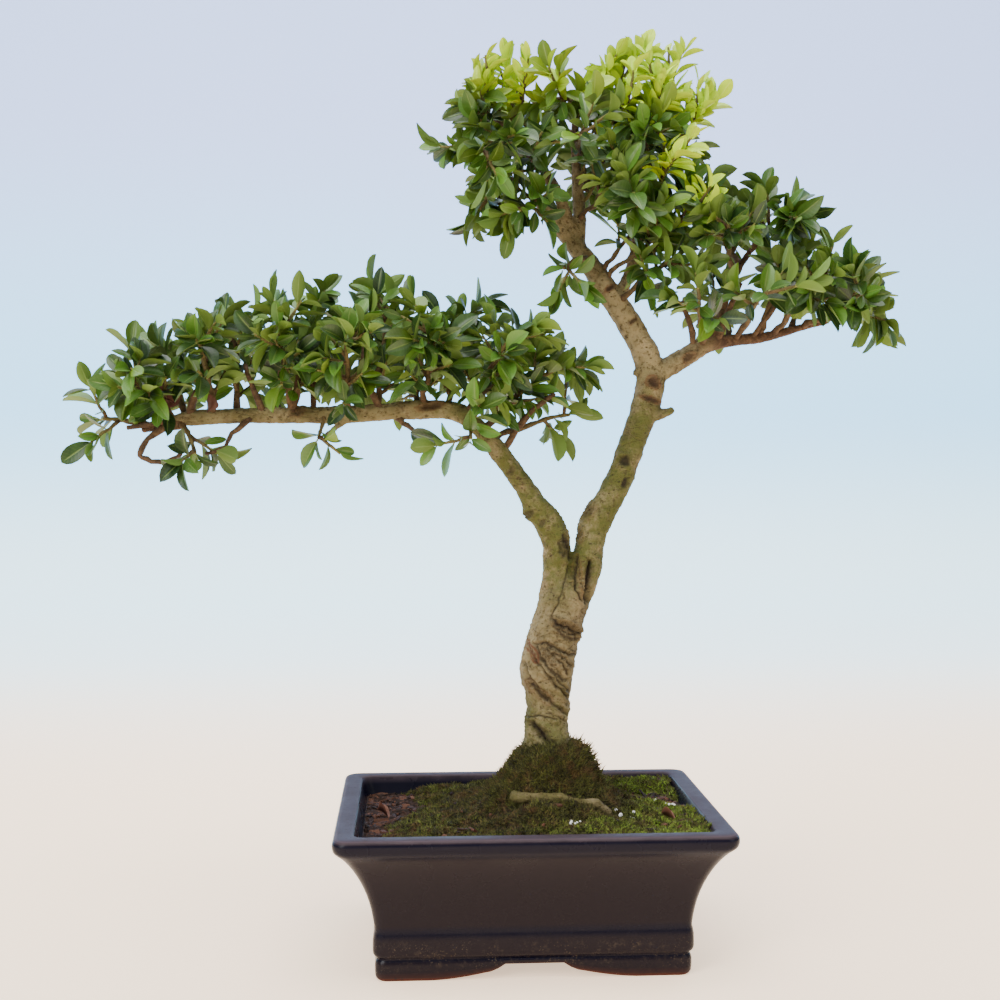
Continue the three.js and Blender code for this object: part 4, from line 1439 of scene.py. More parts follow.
    def litter(self, finishes: Finishes) -> None:
        """Lays down the pale grains and flakes at the right, and a few on the moss.

        Args:
            finishes: The materials.
        """
        draw = Draw(SEED + 17)
        grain = Form("tint")
        bmesh.ops.create_icosphere(grain.mesh, subdivisions=1, radius=1.0)
        for vertex in grain.mesh.verts:
            vertex.co *= draw.between(0.7, 1.2)
        template = grain.template("pale_grain")
        form = Form("tint")
        for x, y, reach, count, tint in self.grain_spots:
            for _ in range(count):
                px, py = x + draw.between(-reach, reach), y + draw.between(-reach, reach) * 0.6
                matrix = self.upright(px, py, 1.5, draw) @ Matrix.Translation((0.0, 0.0, 0.6))
                size = draw.between(0.4, 1.5)
                stretch = Matrix.Diagonal((size, size * draw.between(0.5, 1.0), size * 0.7, 1.0))
                form.stamp(template, matrix @ stretch, tint=tint)
        form.piece("fallen_grains", Slot.SOIL, [finishes.chip])


# The wood.


@dataclass(frozen=True)
class Scar:
    """A healed wound or knot on the bark, seen from the front.

    It is an oval in the front plane: its middle, half its length and width, how far it leans from
    upright (positive: its top goes right), how high its lip stands and how deep its middle lies.
    """

    x: float
    y: float
    z: float
    long: float
    wide: float
    lean: float
    lip: float
    hollow: float
    dark: float
    red: float = 0.4
    rough: float = 0.0


@dataclass(frozen=True)
class Crease:
    """A fold in the bark, seen from the front.

    Its course is a line of places (x, z) in the front plane. Then come how deep and how wide it is,
    how dark its groove is painted as shade, how far the bark swells beside it, and how red it is.
    """

    course: tuple[Pair, ...]
    deep: float
    wide: float
    dark: float
    swell: float = 0.0
    red: float = 0.0

    def away(self, flat: Array) -> Array:
        """How far places of the front plane are from the course.

        Args:
            flat: The places.

        Returns:
            One distance for each.
        """
        nearest = np.full(len(flat), np.inf)
        points = np.array(self.course, float)
        for start, end in zip(points, points[1:]):
            line = end - start
            share = np.clip((flat - start) @ line / (line @ line), 0, 1)
            nearest = np.minimum(nearest, np.linalg.norm(flat - start - share[:, None] * line, axis=1))
        return nearest


@dataclass
class Wood:
    """Trunk, limbs, stubs and roots: one body that has grown as one."""

    limbs: dict[str, list[Station]] = field(
        default_factory=lambda: {
            "bole": [
                (10, 1, 66, 20), (10, 0, 76, 17.5), (10, 0, 86, 14), (10, 0, 95, 11.8), (10.3, 0, 108, 10.2),
                (10.4, 0, 117, 9.9), (10, 0, 130, 12.5), (10.6, 0, 137, 12.7), (16.6, 0, 160, 11.8),
                (19.6, 0.5, 169, 11), (21, 1, 176, 8),
            ],
            "left": [
                (14.5, 0, 158, 7.6), (14.7, 0, 176, 6.8), (14.4, -0.5, 190, 6.8), (11.4, -2, 201, 6.9),
                (4, -4, 211.4, 6.1), (-2, -6, 221, 4.8), (-14, -9, 237, 4.5), (-26, -10, 250.5, 4.2),
                (-40, -10, 256.7, 4.5), (-84, -10, 254.5, 4.1), (-130, -11, 253.5, 3.7),
                (-158, -12, 252.3, 3.5), (-168, -12, 250, 2.6), (-180, -12, 246.5, 1.6),
            ],
            "right": [
                (18, 1, 150, 6.5), (22.5, 1, 163, 7.6), (28.4, 2, 180, 7.7), (31.3, 3, 192, 7.3),
                (34.8, 4, 204, 7.1), (45.8, 6, 223, 6.6), (53, 8, 243, 6.3), (60.2, 10, 262, 6.8),
                (61.6, 10, 271, 7), (60.8, 10, 280, 6.6), (56.4, 10, 291, 6.4), (40.8, 10, 315, 5.6),
                (29.5, 10, 331, 4.9), (15, 9, 348, 3.9), (9, 8, 355, 3.2),
            ],
            "crownUp": [
                (26, 10.5, 336, 3.8), (27, 12, 348, 3.4), (26, 14, 370, 2.8), (25.2, 16, 393, 2.2),
                (26.2, 17, 409, 1.8),
            ],
            "crownLeft": [
                (25, 10, 338, 3.4), (18, 7, 356, 3), (11, 4, 369, 2.6), (-3.5, 0, 385, 2.1),
                (-10, -2, 392, 1.6),
            ],
            "crownRight": [(45, 10, 309, 3.2), (53, 15, 328, 2.8), (58, 17, 350, 2.4), (60, 16, 374, 1.8)],
            "spreader": [
                (60, 10, 270, 5), (67.5, 10.5, 276.5, 5), (79, 12, 283, 4.7), (89, 14, 289.5, 4.3),
                (100, 14, 291.5, 3.3), (111, 14, 292.5, 2.8), (121, 14, 294, 2.5), (132, 14, 297, 2.1),
                (148, 14, 301, 1.6),
            ],
            "spreaderUp": [(92, 14, 290, 2.8), (98, 15, 305, 2.4), (103, 16, 322, 2), (112, 14, 336, 1.6)],
        }
    )
    stubs: tuple[tuple[Station, ...], ...] = (
        ((58, 8, 253.5, 3.2), (65, 7, 255.2, 2.6), (70.5, 6.5, 256.6, 2.4), (73, 6.3, 258.0, 2.1)),
        ((57, 10, 274, 2.2), (53, 8, 276, 1.6)),
        ((-84, -10, 253, 1.4), (-93, -13, 246, 1.1), (-98, -14, 243.5, 0.9)),
    )
    surface_root: tuple[Station, ...] = (
        (0, -17, 73, 3.4), (-7, -27, 76.0, 3.3), (3, -32, 77.4, 2.6), (12, -33.5, 77.2, 2.9),
        (20, -33.0, 75.6, 2.2), (30, -31, 73.4, 2.6), (37, -30, 66.5, 2.2), (41, -31, 58, 1.8),
    )
    root_crown: tuple[Station, ...] = ((10, 0, 73, 18.5), (10, 1, 62, 16), (10, 1, 50, 11), (11, 1, 42, 6))
    scars: tuple[tuple[float, ...], ...] = (
        (25.8, -7, 176.0, 8.5, 2.0, 0.06, 0.0, -1.2, 0.0, 0.35, 1.0),
        (19.4, -10, 152.6, 7.8, 3.4, 2.08, 0.9, 0.8, 0.42, 0.4, 1.0),
        (8.6, -10, 150.6, 7.5, 4.6, 2.3, 0.0, -0.9, 0.0, 0.0),
        (13.2, -10, 138.6, 11.0, 5.4, 2.06, 0.5, -0.8, 0.32, 0.25, 1.3),
        (5.4, -9, 122.6, 5.2, 1.4, 2.36, 0.1, -0.6, 0.0, 0.35, 0.6),
        (6.6, -9, 102.6, 6.4, 3.4, 2.3, 0.8, 0.6, 0.35, 0.1, 0.8),
        (17.2, -5, 191.4, 6.0, 3.0, 0.2, 0.8, -0.6, 0.55, 0.0, 1.2),
        (25.4, -3, 197.5, 4.0, 2.2, -0.2, 0.6, -0.4, 0.3, 0.6, 0.9),
        (47.8, 0, 232.4, 3.2, 2.8, 0.2, 1.0, 1.0, 0.85, 0.3, 0.8),
        (47.8, 2, 222.0, 3.4, 1.6, 0.4, 0.2, 0.7, 0.9, 0.2, 0.4),
        (30.4, 0, 208.0, 4.4, 2.4, 0.6, 0.6, -0.5, 0.35, 0.5, 0.8),
        (61.0, 4, 262.5, 4.6, 1.5, -1.3, 0.5, 0.7, 0.8, 1.0, 1.0),
        (62.0, 4, 270.5, 3.6, 2.6, -0.9, 0.7, 0.7, 0.75, 1.0, 1.2),
        (52.0, 4, 300.0, 2.2, 1.0, 0.9, 0.5, 0.4, 0.7, 0.8, 0.6),
        (41.0, 2, 316.0, 3.0, 1.3, 1.0, 0.5, 0.4, 0.8, 1.0, 0.6),
        (80.0, 8, 283.0, 3.4, 2.0, 1.0, 0.8, 0.2, 0.6, 0.8, 1.0),
        (0.4, -8, 207.0, 4.0, 2.2, 0.9, 0.7, -0.4, 0.6, 0.2, 0.9),
        (-8.0, -12, 228.0, 2.6, 1.8, 0.6, 0.6, 0.2, 0.55, 0.1, 0.6),
        (7.0, -7, 203.0, 2.8, 1.6, 0.4, 0.6, 0.2, 0.55, 0.1, 0.6),
        (-46.0, -14, 258.0, 6.0, 1.8, 1.4, 0.5, 0.7, 0.5, 0.9),
        (-108.0, -14, 255.5, 3.6, 2.2, 1.2, 0.8, 0.5, 0.4, 0.7),
    )
    creases: tuple[tuple, ...] = (
        (((19.8, 182.5), (18.2, 175.9), (15.8, 170.2), (13.9, 164.5), (11.0, 157.0)), 0.9, 0.5, 0.6, 0.2),
        (((17.0, 196.5), (19.4, 191.0), (20.4, 186.0)), 1.0, 1.1, 0.9, 0.4),
        (((14.6, 193.0), (17.4, 187.6)), 0.7, 0.8, 0.6),
        (((24.4, 186.0), (22.9, 178.0), (23.2, 171.0), (25.6, 166.2)), 1.1, 0.6, 0.8, 0.4, 0.5),
        (((25.4, 184.0), (25.0, 176.0), (26.2, 169.0)), 0.6, 0.4, 0.5, 0.0, 0.8),
        (((30.4, 184.0), (29.8, 176.0), (28.8, 169.4), (29.4, 165.0)), 3.2, 1.5, 1.0, 0.5),
        (((11.8, 157.4), (14.6, 154.6), (18.4, 153.6), (22.6, 151.4), (26.0, 149.4)), 1.3, 0.6, 0.9, 0.6),
        (((12.8, 154.6), (15.4, 150.6), (19.6, 148.0), (24.4, 147.2)), 1.0, 0.6, 0.8, 0.4),
        (((15.0, 152.4), (19.0, 150.6), (23.4, 149.2)), 0.8, 0.5, 0.7, 0.2),
        (((3.2, 145.6), (8.4, 146.4), (14.6, 143.2), (20.4, 140.2), (23.6, 140.4)), 1.0, 0.6, 0.8, 0.5),
        (((3.9, 144.6), (5.8, 140.3), (8.6, 136.0), (12.4, 132.1), (17.0, 128.6)), 1.3, 0.8, 0.8, 0.3),
        (((9.0, 143.4), (13.0, 139.6), (16.8, 135.0), (18.8, 131.0)), 0.9, 0.6, 0.75, 0.3),
        (((12.6, 141.6), (17.0, 138.6), (21.0, 134.0)), 0.8, 0.5, 0.75, 0.3),
        (((7.2, 140.6), (10.8, 136.2), (15.0, 132.2)), 0.7, 0.5, 0.65, 0.2),
        (
            ((-1.8, 136.5), (0.2, 131.3), (3.8, 126.2), (8.5, 120.2), (13.5, 115.6), (19.4, 111.0)),
            1.3, 0.7, 0.6, 0.5,
        ),
        (((4.4, 137.9), (8.2, 132.1), (12.5, 127.3), (16.4, 122.5), (20.4, 117.4)), 1.2, 0.6, 0.7, 0.5),
        (((10.4, 133.0), (14.4, 128.4), (19.4, 122.6)), 0.9, 0.6, 0.65, 0.3),
        (((1.6, 126.6), (5.4, 122.4), (9.4, 118.4)), 1.0, 0.8, 0.85, 0.4, 0.6),
        (((-0.8, 109.4), (3.5, 110.9), (8.3, 110.8), (13.0, 109.0)), 0.8, 0.45, 0.8, 0.3),
        (((9.0, 112.6), (13.0, 111.0), (17.4, 108.6)), 0.6, 0.5, 0.55),
        (((3.0, 106.6), (5.2, 103.4), (8.2, 100.6), (10.8, 98.4)), 2.4, 1.6, 1.0, 0.6),
        (((-1.0, 147.4), (1.8, 142.6), (4.4, 138.4)), 0.5, 0.5, 0.4, 0.3, 1.3),
    )
    voxel: float = 0.98
    quick_voxel: float = 1.2
    lumps: tuple[Pair, ...] = ((0.85, 0.075), (0.7, 0.19), (0.34, 0.55))
    grain: tuple[Pair, ...] = ((0.16, 1.3), (0.22, 0.8))

    def points_of(self, name: str, place: float) -> Array:
        """A point along a limb, counted in its points.

        Args:
            name: The limb.
            place: How many points along it.

        Returns:
            x, y, z and the radius.
        """
        points = self.limbs[name]
        i = min(len(points) - 2, math.floor(place))
        return np.array([mix(points[i][k], points[i + 1][k], place - i) for k in range(4)])

    def stretches(self) -> tuple[Array, Array]:
        """The starts and the ends of all the limbs' straight stretches."""
        pairs = [(a, b) for points in self.limbs.values() for a, b in zip(points, points[1:])]
        return np.array([a for a, _ in pairs], float), np.array([b for _, b in pairs], float)

    def rooted(self, form: Form) -> None:
        """Adds the tubes that the wood is fused from.

        Args:
            form: The form that takes them.
        """
        for name, points in self.limbs.items():
            form.tube(rounded(points, 4), 28 if name in ("bole", "left", "right") else 14)
        for stub in self.stubs:
            form.tube(rounded(stub, 4), 12)
        form.tube(rounded(self.surface_root, 4), 14)
        form.tube(rounded(self.root_crown, 3), 24)

    def fused(self) -> Mesh:
        """The wood as one skin, by remeshing its tubes.

        Returns:
            The skin's mesh.
        """
        form = Form()
        self.rooted(form)
        rough = form.template("wood_tubes")
        holder = placed("wood_tubes", rough)
        skin = holder.modifiers.new("skin", "REMESH")
        skin.mode = "VOXEL"
        skin.voxel_size = self.voxel
        bpy.context.view_layer.update()
        made = bpy.data.meshes.new_from_object(holder.evaluated_get(bpy.context.evaluated_depsgraph_get()))
        bpy.data.objects.remove(holder)
        bpy.data.meshes.remove(rough)
        smoothing = bmesh.new()
        smoothing.from_mesh(made)
        axes = {f"use_axis_{axis}": True for axis in "xyz"}
        for _ in range(2):
            bmesh.ops.smooth_vert(smoothing, verts=smoothing.verts[:], factor=0.5, **axes)
        fine = [edge for edge in smoothing.edges if all(94.0 < v.co.z < 212.0 for v in edge.verts)]
        fine = [edge for edge in fine if abs(edge.verts[0].co.x - 14.0) < 26.0]
        bmesh.ops.subdivide_edges(smoothing, edges=fine, cuts=1, use_grid_fill=True)
        smoothing.to_mesh(made)
        smoothing.free()
        return made

    @staticmethod
    def strands(x: float, y: float, z: float, middle: float) -> float:
        """The twisted cords that a wire has left round the bole.

        Args:
            x: The place across.
            y: The place along.
            z: Its height.
            middle: Where the bole's axis is at that height.

        Returns:
            How far the bark stands out there, in millimetres.
        """
        turn = math.degrees(math.atan2(-y, -(x - middle)))
        level = z + turn * 29.0 / 180.0
        here = smooth(104.0, 112.0, z) * smooth(143.0, 136.0, z)
        here = here * smooth(-40.0, 5.0, turn) * smooth(205.0, 165.0, turn)
        wave = ((level - 135.5) / 14.5) % 1.0
        near = min(wave, 1 - wave)
        groove = math.exp(-((near / 0.075) ** 2))
        cord = math.sin(math.pi * wave) ** 2
        half = math.exp(-((abs(wave - 0.45) / 0.05) ** 2))
        return here * (0.9 * cord - 1.6 * groove - 0.5 * half)

    def shaped(self, mesh: Mesh) -> None:
        """Gives the skin its lumps, strands and scars, and writes what the bark is like where.

        Args:
            mesh: The fused skin.
        """
        count = len(mesh.vertices)
        places = np.empty(count * 3, np.float32)
        ways = np.empty(count * 3, np.float32)
        mesh.vertices.foreach_get("co", places)
        mesh.vertices.foreach_get("normal", ways)
        places, ways = places.reshape(-1, 3).astype(float), ways.reshape(-1, 3).astype(float)
        size = self.girth(places)
        lift = np.zeros(count)
        wound, callus = np.zeros(count), np.zeros(count)
        drawn = np.zeros((count, 2))
        for i in range(count):
            x, y, z = places[i]
            here = Vector(places[i])
            big = min(1.0, size[i] / 7.0)
            small = min(1.0, size[i] / 3.0)
            lift[i] = big * sum(deep * noise.noise(here * fine) for deep, fine in self.lumps)
            lift[i] += small * sum(deep * noise.noise(here * fine) for deep, fine in self.grain)
            wander = noise.noise_vector(here * 0.33) + noise.noise_vector(here * 1.1) * 0.35
            drawn[i] = (x + 0.9 * wander.x, z + 0.9 * wander.z)
            if 88.0 < z < 146.0 and abs(x - 12) < 20 and abs(y) < 20:
                share = mix(0.3, 1.0, smooth(-4.0, 3.0, y))
                lift[i] += share * self.strands(x, y, z, mix(10.2, 12.0, smooth(130.0, 146.0, z)))
        for scar in (Scar(*row) for row in self.scars):
            near = np.abs(places - [scar.x, scar.y, scar.z]).max(axis=1) < scar.long * 2.2
            for i in np.nonzero(near & (ways[:, 1] < 0.35))[0]:
                dx, dz = places[i][0] - scar.x, places[i][2] - scar.z
                along = dx * math.sin(scar.lean) + dz * math.cos(scar.lean)
                across = dx * math.cos(scar.lean) - dz * math.sin(scar.lean)
                ragged = 1 + 0.25 * noise.noise(Vector(places[i]) * 0.7)
                far = math.hypot(along / scar.long, across / scar.wide) * ragged
                ring = math.exp(-(((far - 1.05) / 0.3) ** 2))
                core = smooth(1.05, 0.6, far)
                lift[i] += scar.lip * ring - scar.hollow * core
                lift[i] += scar.rough * core * noise.noise(Vector(places[i]) * 0.8)
                wound[i] = max(wound[i], core * scar.dark)
                callus[i] = max(callus[i], max(ring, core) * scar.red)
        front = np.clip((0.15 - ways[:, 1]) / 0.6, 0, 1)
        for crease in (Crease(*row) for row in self.creases):
            away = crease.away(drawn)
            groove = np.exp(-((away / crease.wide) ** 2)) * front
            beside = np.exp(-(((away - 2.4 * crease.wide) / (1.3 * crease.wide)) ** 2)) * front
            lift += crease.swell * beside - crease.deep * groove
            # A crease's darkness is painted shade in its groove; it goes into the wound number beside the
            # scars' own dark wood.
            wound = np.maximum(wound, crease.dark * groove)
            callus = np.maximum(callus, crease.red * np.maximum(groove, beside))
        places += ways * lift[:, None]
        mesh.vertices.foreach_set("co", places.astype(np.float32).ravel())
        browner = (places[:, 0] > 78) & (places[:, 2] > 270) & (places[:, 2] < 300)
        young = np.array([smooth(5.0, 3.4, s) if b else smooth(3.4, 2.0, s) for s, b in zip(size, browner)])
        root = (places[:, 1] < -22) & (places[:, 2] < 84)
        young[root] = 0.0
        callus[root] = 0.45
        for name, numbers in (("wound", wound), ("callus", callus), ("young", young)):
            layer = mesh.attributes.new(name, "FLOAT", "POINT")
            layer.data.foreach_set("value", numbers.astype(np.float32))

    def girth(self, places: Array) -> Array:
        """The radius of the limb that each place belongs to.

        Args:
            places: The places.

        Returns:
            One radius for each.
        """
        starts, ends = self.stretches()
        best = np.full(len(places), np.inf)
        size = np.zeros(len(places))
        for start, end in zip(starts, ends):
            line = end[:3] - start[:3]
            share = np.clip((places - start[:3]) @ line / (line @ line), 0, 1)
            away = np.linalg.norm(places - start[:3] - share[:, None] * line, axis=1)
            radius = start[3] + (end[3] - start[3]) * share
            nearer = away - radius < best
            best[nearer] = (away - radius)[nearer]
            size[nearer] = radius[nearer]
        return size

    def build(self, finishes: Finishes) -> None:
        """Makes the wood above and below ground.

        Args:
            finishes: The materials.
        """
        mesh = self.fused()
        self.shaped(mesh)
        form = Form("wound", "callus", "young")
        form.mesh.from_mesh(mesh)
        bpy.data.meshes.remove(mesh)
        form.smooth()
        for i in range(3):
            turn = 2 * math.pi * (i + 0.3) / 3
            line = []
            for s in (0.2, 0.4, 0.6, 0.8, 1.0):
                x, y = 10 + 44 * s * math.cos(turn), 1 + 35.2 * s * math.sin(turn)
                line.append((x, y, 68 - 34 * s**1.3, mix(6.5, 1.8, s)))
            form.tube(line, 10, young=(0.6, 1.0))
        form.piece("trunk_wood", Slot.BARK, [finishes.bark], "trunk")


# The foliage.


class Bow:
    """A bowed line, lifted or let down in its middle."""

    def __init__(self, start: Array, end: Array, lift: float) -> None:
        """Sets the line's three points.

        Args:
            start: Where it starts.
            end: Where it ends.
            lift: How far its middle point is lifted.
        """
        self.start = start
        self.end = end
        self.middle = (start + end) * 0.5 + UP * lift

    def at(self, t: float) -> Array:
        """The point at a share of the line."""
        return self.start * (1 - t) ** 2 + self.middle * (2 * t * (1 - t)) + self.end * t**2

    def along(self, t: float) -> Array:
        """The direction at a share of the line."""
        return unit((self.middle - self.start) * (1 - t) + (self.end - self.middle) * t)

    def length(self) -> float:
        """The distance between the ends."""
        return float(np.linalg.norm(self.end - self.start))


def crossways(along: Array) -> tuple[Array, Array]:
    """Two directions square to a line."""
    side = unit(np.cross(along, np.array([1.0, 0.0, 0.0]) if abs(along[2]) > 0.9 else UP))
    return side, np.cross(side, along)


class Twig:
    """A straight twig, rolled about its own line."""

    def __init__(self, start: Array, end: Array, roll: float) -> None:
        """Sets the twig.

        Args:
            start: Where it starts.
            end: Where it ends.
            roll: How far it is rolled.
        """
        self.start = start
        self.end = end
        self.roll = roll
        self.way = unit(end - start)
        self.side, self.over = crossways(self.way)

    def at(self, t: float) -> Array:
        """The point at a share of the twig."""
        return self.start + (self.end - self.start) * t

    def length(self) -> float:
        """The twig's length."""
        return float(np.linalg.norm(self.end - self.start))

    def outward(self, turn: float) -> Array:
        """The direction away from the twig at a turn about it."""
        return self.over * math.cos(turn) + self.side * math.sin(turn)


@dataclass
class Leaf:
    """One blade: where its foot is, which way it points and faces, and its size."""

    base: Array
    axis: Array
    face: Array
    length: float
    width: float

    STATIONS = [(s, side) for s in (0.2, 0.36, 0.52, 0.68, 0.84, 0.98) for side in (-0.7, 0.0, 0.7)]

    def beads(self) -> Array:
        """Points over the blade that mark the room it takes.

        Returns:
            The points.
        """
        across = np.cross(self.axis, self.face)
        found = []
        for s, side in self.STATIONS:
            half = 0.5 * math.pow(math.sin(math.pi * math.pow(s, 1.15)), 0.75)
            found.append(
                self.base
                + self.axis * (s * self.length)
                + across * (side * half * self.width)
                + self.face * (-0.14 * self.length * s * s)
            )
        return np.array(found)

    def matrix(self) -> Matrix:
        """The place of a template blade that stands for this one."""
        across = np.cross(self.axis, self.face)
        return turned_to((across * self.width, self.axis * self.length, self.face * self.length, self.base))


@dataclass
class Spray:
    """A stem with its twigs and leaves."""

    name: str
    stem: Bow
    radius: float
    wanted: int
    seed: int
    shoot: bool
    twigs: list[tuple[int, Twig]] = field(default_factory=list)
    leaves: list[Leaf] = field(default_factory=list)


class Beads:
    """Marks of the room that wood, twigs and leaves take, kept in cells."""

    CELL = 4.0
    STEP = 2.4
    TWIG = 0.9
    LEAF = 1.3
    FINE_LEAF = 0.7
    FINE_EASE = 0.78
    OWN = 0.95
    OTHERS = 1.05
    TWIG_OFF_WOOD = 1.7
    LEAF_OFF_WOOD = 1.6

    def __init__(self) -> None:
        """Starts with nothing marked."""
        self.cells: dict[tuple[int, int, int], list[Bead]] = {}

    def add(self, point: Array, radius: float, owner: str, part: str) -> None:
        """Marks a point for a part of a spray."""
        key = tuple(math.floor(c / self.CELL) for c in point)
        self.cells.setdefault(key, []).append((point[0], point[1], point[2], radius, owner, part))

    def clear(self, point: Array, radius: float, owner: str, part: str, ease: float = 1.0) -> bool:
        """Whether a bead here is clear of what belongs to others, and mostly clear of its own spray.

        Args:
            point: The bead's middle.
            radius: Its radius.
            owner: The spray it belongs to.
            part: The part of it; beads of the same part don't count.
            ease: How much closer than usual it may be.

        Returns:
            True if it is clear.
        """
        x, y, z = float(point[0]), float(point[1]), float(point[2])
        i, j, k = math.floor(x / self.CELL), math.floor(y / self.CELL), math.floor(z / self.CELL)
        for a in (i - 1, i, i + 1):
            for b in (j - 1, j, j + 1):
                for c in (k - 1, k, k + 1):
                    for px, py, pz, size, whose, which in self.cells.get((a, b, c), ()):
                        if which == part:
                            continue
                        near = (size + radius) * ((self.OWN if whose == owner else self.OTHERS) * ease)
                        if math.sqrt((px - x) ** 2 + (py - y) ** 2 + (pz - z) ** 2) < near:
                            return False
        return True


@dataclass(frozen=True)
class BladeShape:
    """One way that a blade has grown: its fold, arch, twist and bend, and how its two ends narrow."""

    fold: float
    arch: float
    twist: float
    bend: float
    widest: float
    blunt: float = 0.6


@dataclass
class Foliage:
    """All the sprays and new shoots, and the bare twigs at the low limb's end."""

    wood: Wood
    sprays_of: dict[str, list[tuple[str, float, float, float, float, int]]] = field(
        default_factory=lambda: {
            "left_pad": [
                ("left", 12.6, -197, -14, 252, 2), ("left", 11.7, -182, -27, 270, 3),
                ("left", 11.3, -170, 14, 280, 3), ("left", 10.6, -150, -30, 285, 3),
                ("left", 10.2, -139, 8, 296, 2), ("left", 9.75, -120, 38, 288, 2),
                ("left", 9.6, -114, -36, 290, 3), ("left", 9.4, -102, 4, 304, 2),
                ("left", 9.0, -84, -44, 286, 3), ("left", 8.9, -80, 32, 297, 2),
                ("left", 8.7, -66, -8, 305, 2), ("left", 8.3, -52, 38, 290, 3),
                ("left", 8.2, -46, -40, 290, 3), ("left", 7.9, -32, 2, 299, 2),
                ("left", 7.3, -10, -30, 288, 3), ("left", 7.1, -3, 24, 288, 2),
                ("left", 6.7, 18, -6, 279, 3), ("left", 7.0, -28, -30, 243, 2),
                ("left", 11.4, -154, -22, 236, 2), ("left", 6.3, 22, 10, 255, 2),
            ],
            "crown": [
                ("crownLeft", 3.8, -22, -6, 397, 3), ("crownLeft", 3.2, -24, 22, 386, 2),
                ("crownLeft", 2.6, -22, -30, 374, 3), ("crownLeft", 1.8, -20, -2, 357, 2),
                ("right", 13.6, -4, -20, 349, 2), ("crownUp", 3.6, 16, -10, 402, 3),
                ("crownUp", 3.0, 4, 32, 396, 2), ("crownUp", 2.4, 22, -36, 380, 3),
                ("crownUp", 1.6, 34, 38, 372, 2), ("crownRight", 2.8, 54, -14, 388, 3),
                ("crownRight", 2.3, 72, 28, 384, 3), ("crownRight", 1.3, 46, -36, 354, 3),
                ("crownUp", 3.8, 40, 14, 408, 2), ("right", 11.7, 16, -20, 322, 2),
                ("right", 10.7, 66, -18, 326, 2),
            ],
            "right_pad": [
                ("spreader", 7.9, 167, 8, 306, 3), ("spreader", 7.4, 158, -22, 311, 3),
                ("spreader", 7.0, 147, 36, 317, 2), ("spreader", 6.2, 138, -32, 317, 2),
                ("spreader", 5.4, 130, 4, 328, 2), ("spreader", 4.4, 108, -36, 310, 3),
                ("spreaderUp", 3.0, 122, -8, 350, 3), ("spreaderUp", 2.4, 104, 36, 346, 2),
                ("spreaderUp", 1.8, 92, -26, 342, 3), ("spreader", 2.8, 78, -28, 306, 3),
                ("spreader", 4.2, 102, 46, 314, 3), ("crownRight", 2.0, 84, 2, 362, 2),
            ],
        }
    )
    shoots: tuple[tuple[str, float, float, float, float], ...] = (
        ("crownUp", 2.3, 56, 2, 430), ("crownRight", 2.85, 76, 4, 430), ("crownUp", 1.4, 68, -10, 403),
        ("crownRight", 2.8, 94, 8, 408), ("crownLeft", 3.5, -10, 3, 424), ("crownRight", 1.7, 66, -30, 372),
        ("crownRight", 0.7, 82, -26, 352),
    )
    twig_length: Pair = (13.0, 19.0)
    twig_starts: tuple[float, ...] = (0.94, 0.62, 0.8, 0.44, 0.72, 0.98, 0.87, 0.53)
    leaf_length: Pair = (13.0, 18.5)
    shoot_leaf_length: Pair = (10.0, 15.0)
    fine_shoot_leaf: Pair = (8.5, 13.0)
    leaf_slimness: Pair = (0.4, 0.52)
    tries: int = 9
    more_twigs: int = 3
    more_places: int = 7
    low_starts: dict[str, tuple[float, ...]] = field(
        default_factory=lambda: {
            "left_pad": (0.16, 0.24, 0.33, 0.46), "crown": (0.5,), "right_pad": (0.5,), "extra": (),
        }
    )
    extra_sprays: tuple[tuple[str, float, float, float, float, int], ...] = (
        ("right", 11.4, 58, -10, 350, 3), ("crownUp", 1.0, 44, -22, 370, 3),
        ("right", 11.2, 62, -14, 338, 2), ("crownRight", 1.2, 70, 6, 346, 2),
        ("crownLeft", 1.2, 0, -14, 376, 2), ("left", 9.2, -98, -18, 243, 1),
    )
    extra_shoots: tuple[tuple[str, float, float, float, float], ...] = (
        ("crownUp", 3.2, 38, 2, 418), ("crownRight", 2.9, 62, -8, 414), ("crownUp", 2.0, 50, -14, 404),
        ("crownRight", 2.4, 84, -6, 400), ("crownLeft", 3.8, -20, -8, 410), ("crownLeft", 3.0, -2, -12, 408),
        ("crownRight", 2.6, 66, 14, 420),
    )
    sparse: frozenset[str] = frozenset(
        {f"left_pad_spray_{i}" for i in ("01", "18", "19", "20")}
        | {"right_pad_spray_06", "right_pad_spray_10", "crown_spray_14", "crown_spray_08"}
        | {"extra_spray_5", "extra_spray_6"}
    )
    pruned: dict[str, tuple[Pair, ...]] = field(
        default_factory=lambda: {
            "left_pad": (
                (-215, 262), (-200, 272), (-186, 294), (-166, 308), (-118, 317), (-72, 323), (-46, 322),
                (-32, 313), (-4, 308), (15, 293), (37, 282),
            ),
            "upper": (
                (-40, 400), (-34, 411), (-20, 428), (-6, 431), (8, 421), (32, 424), (50, 438), (80, 437),
                (96, 420), (92, 392), (106, 378), (128, 366), (148, 350), (167, 339), (190, 326),
            ),
        }
    )

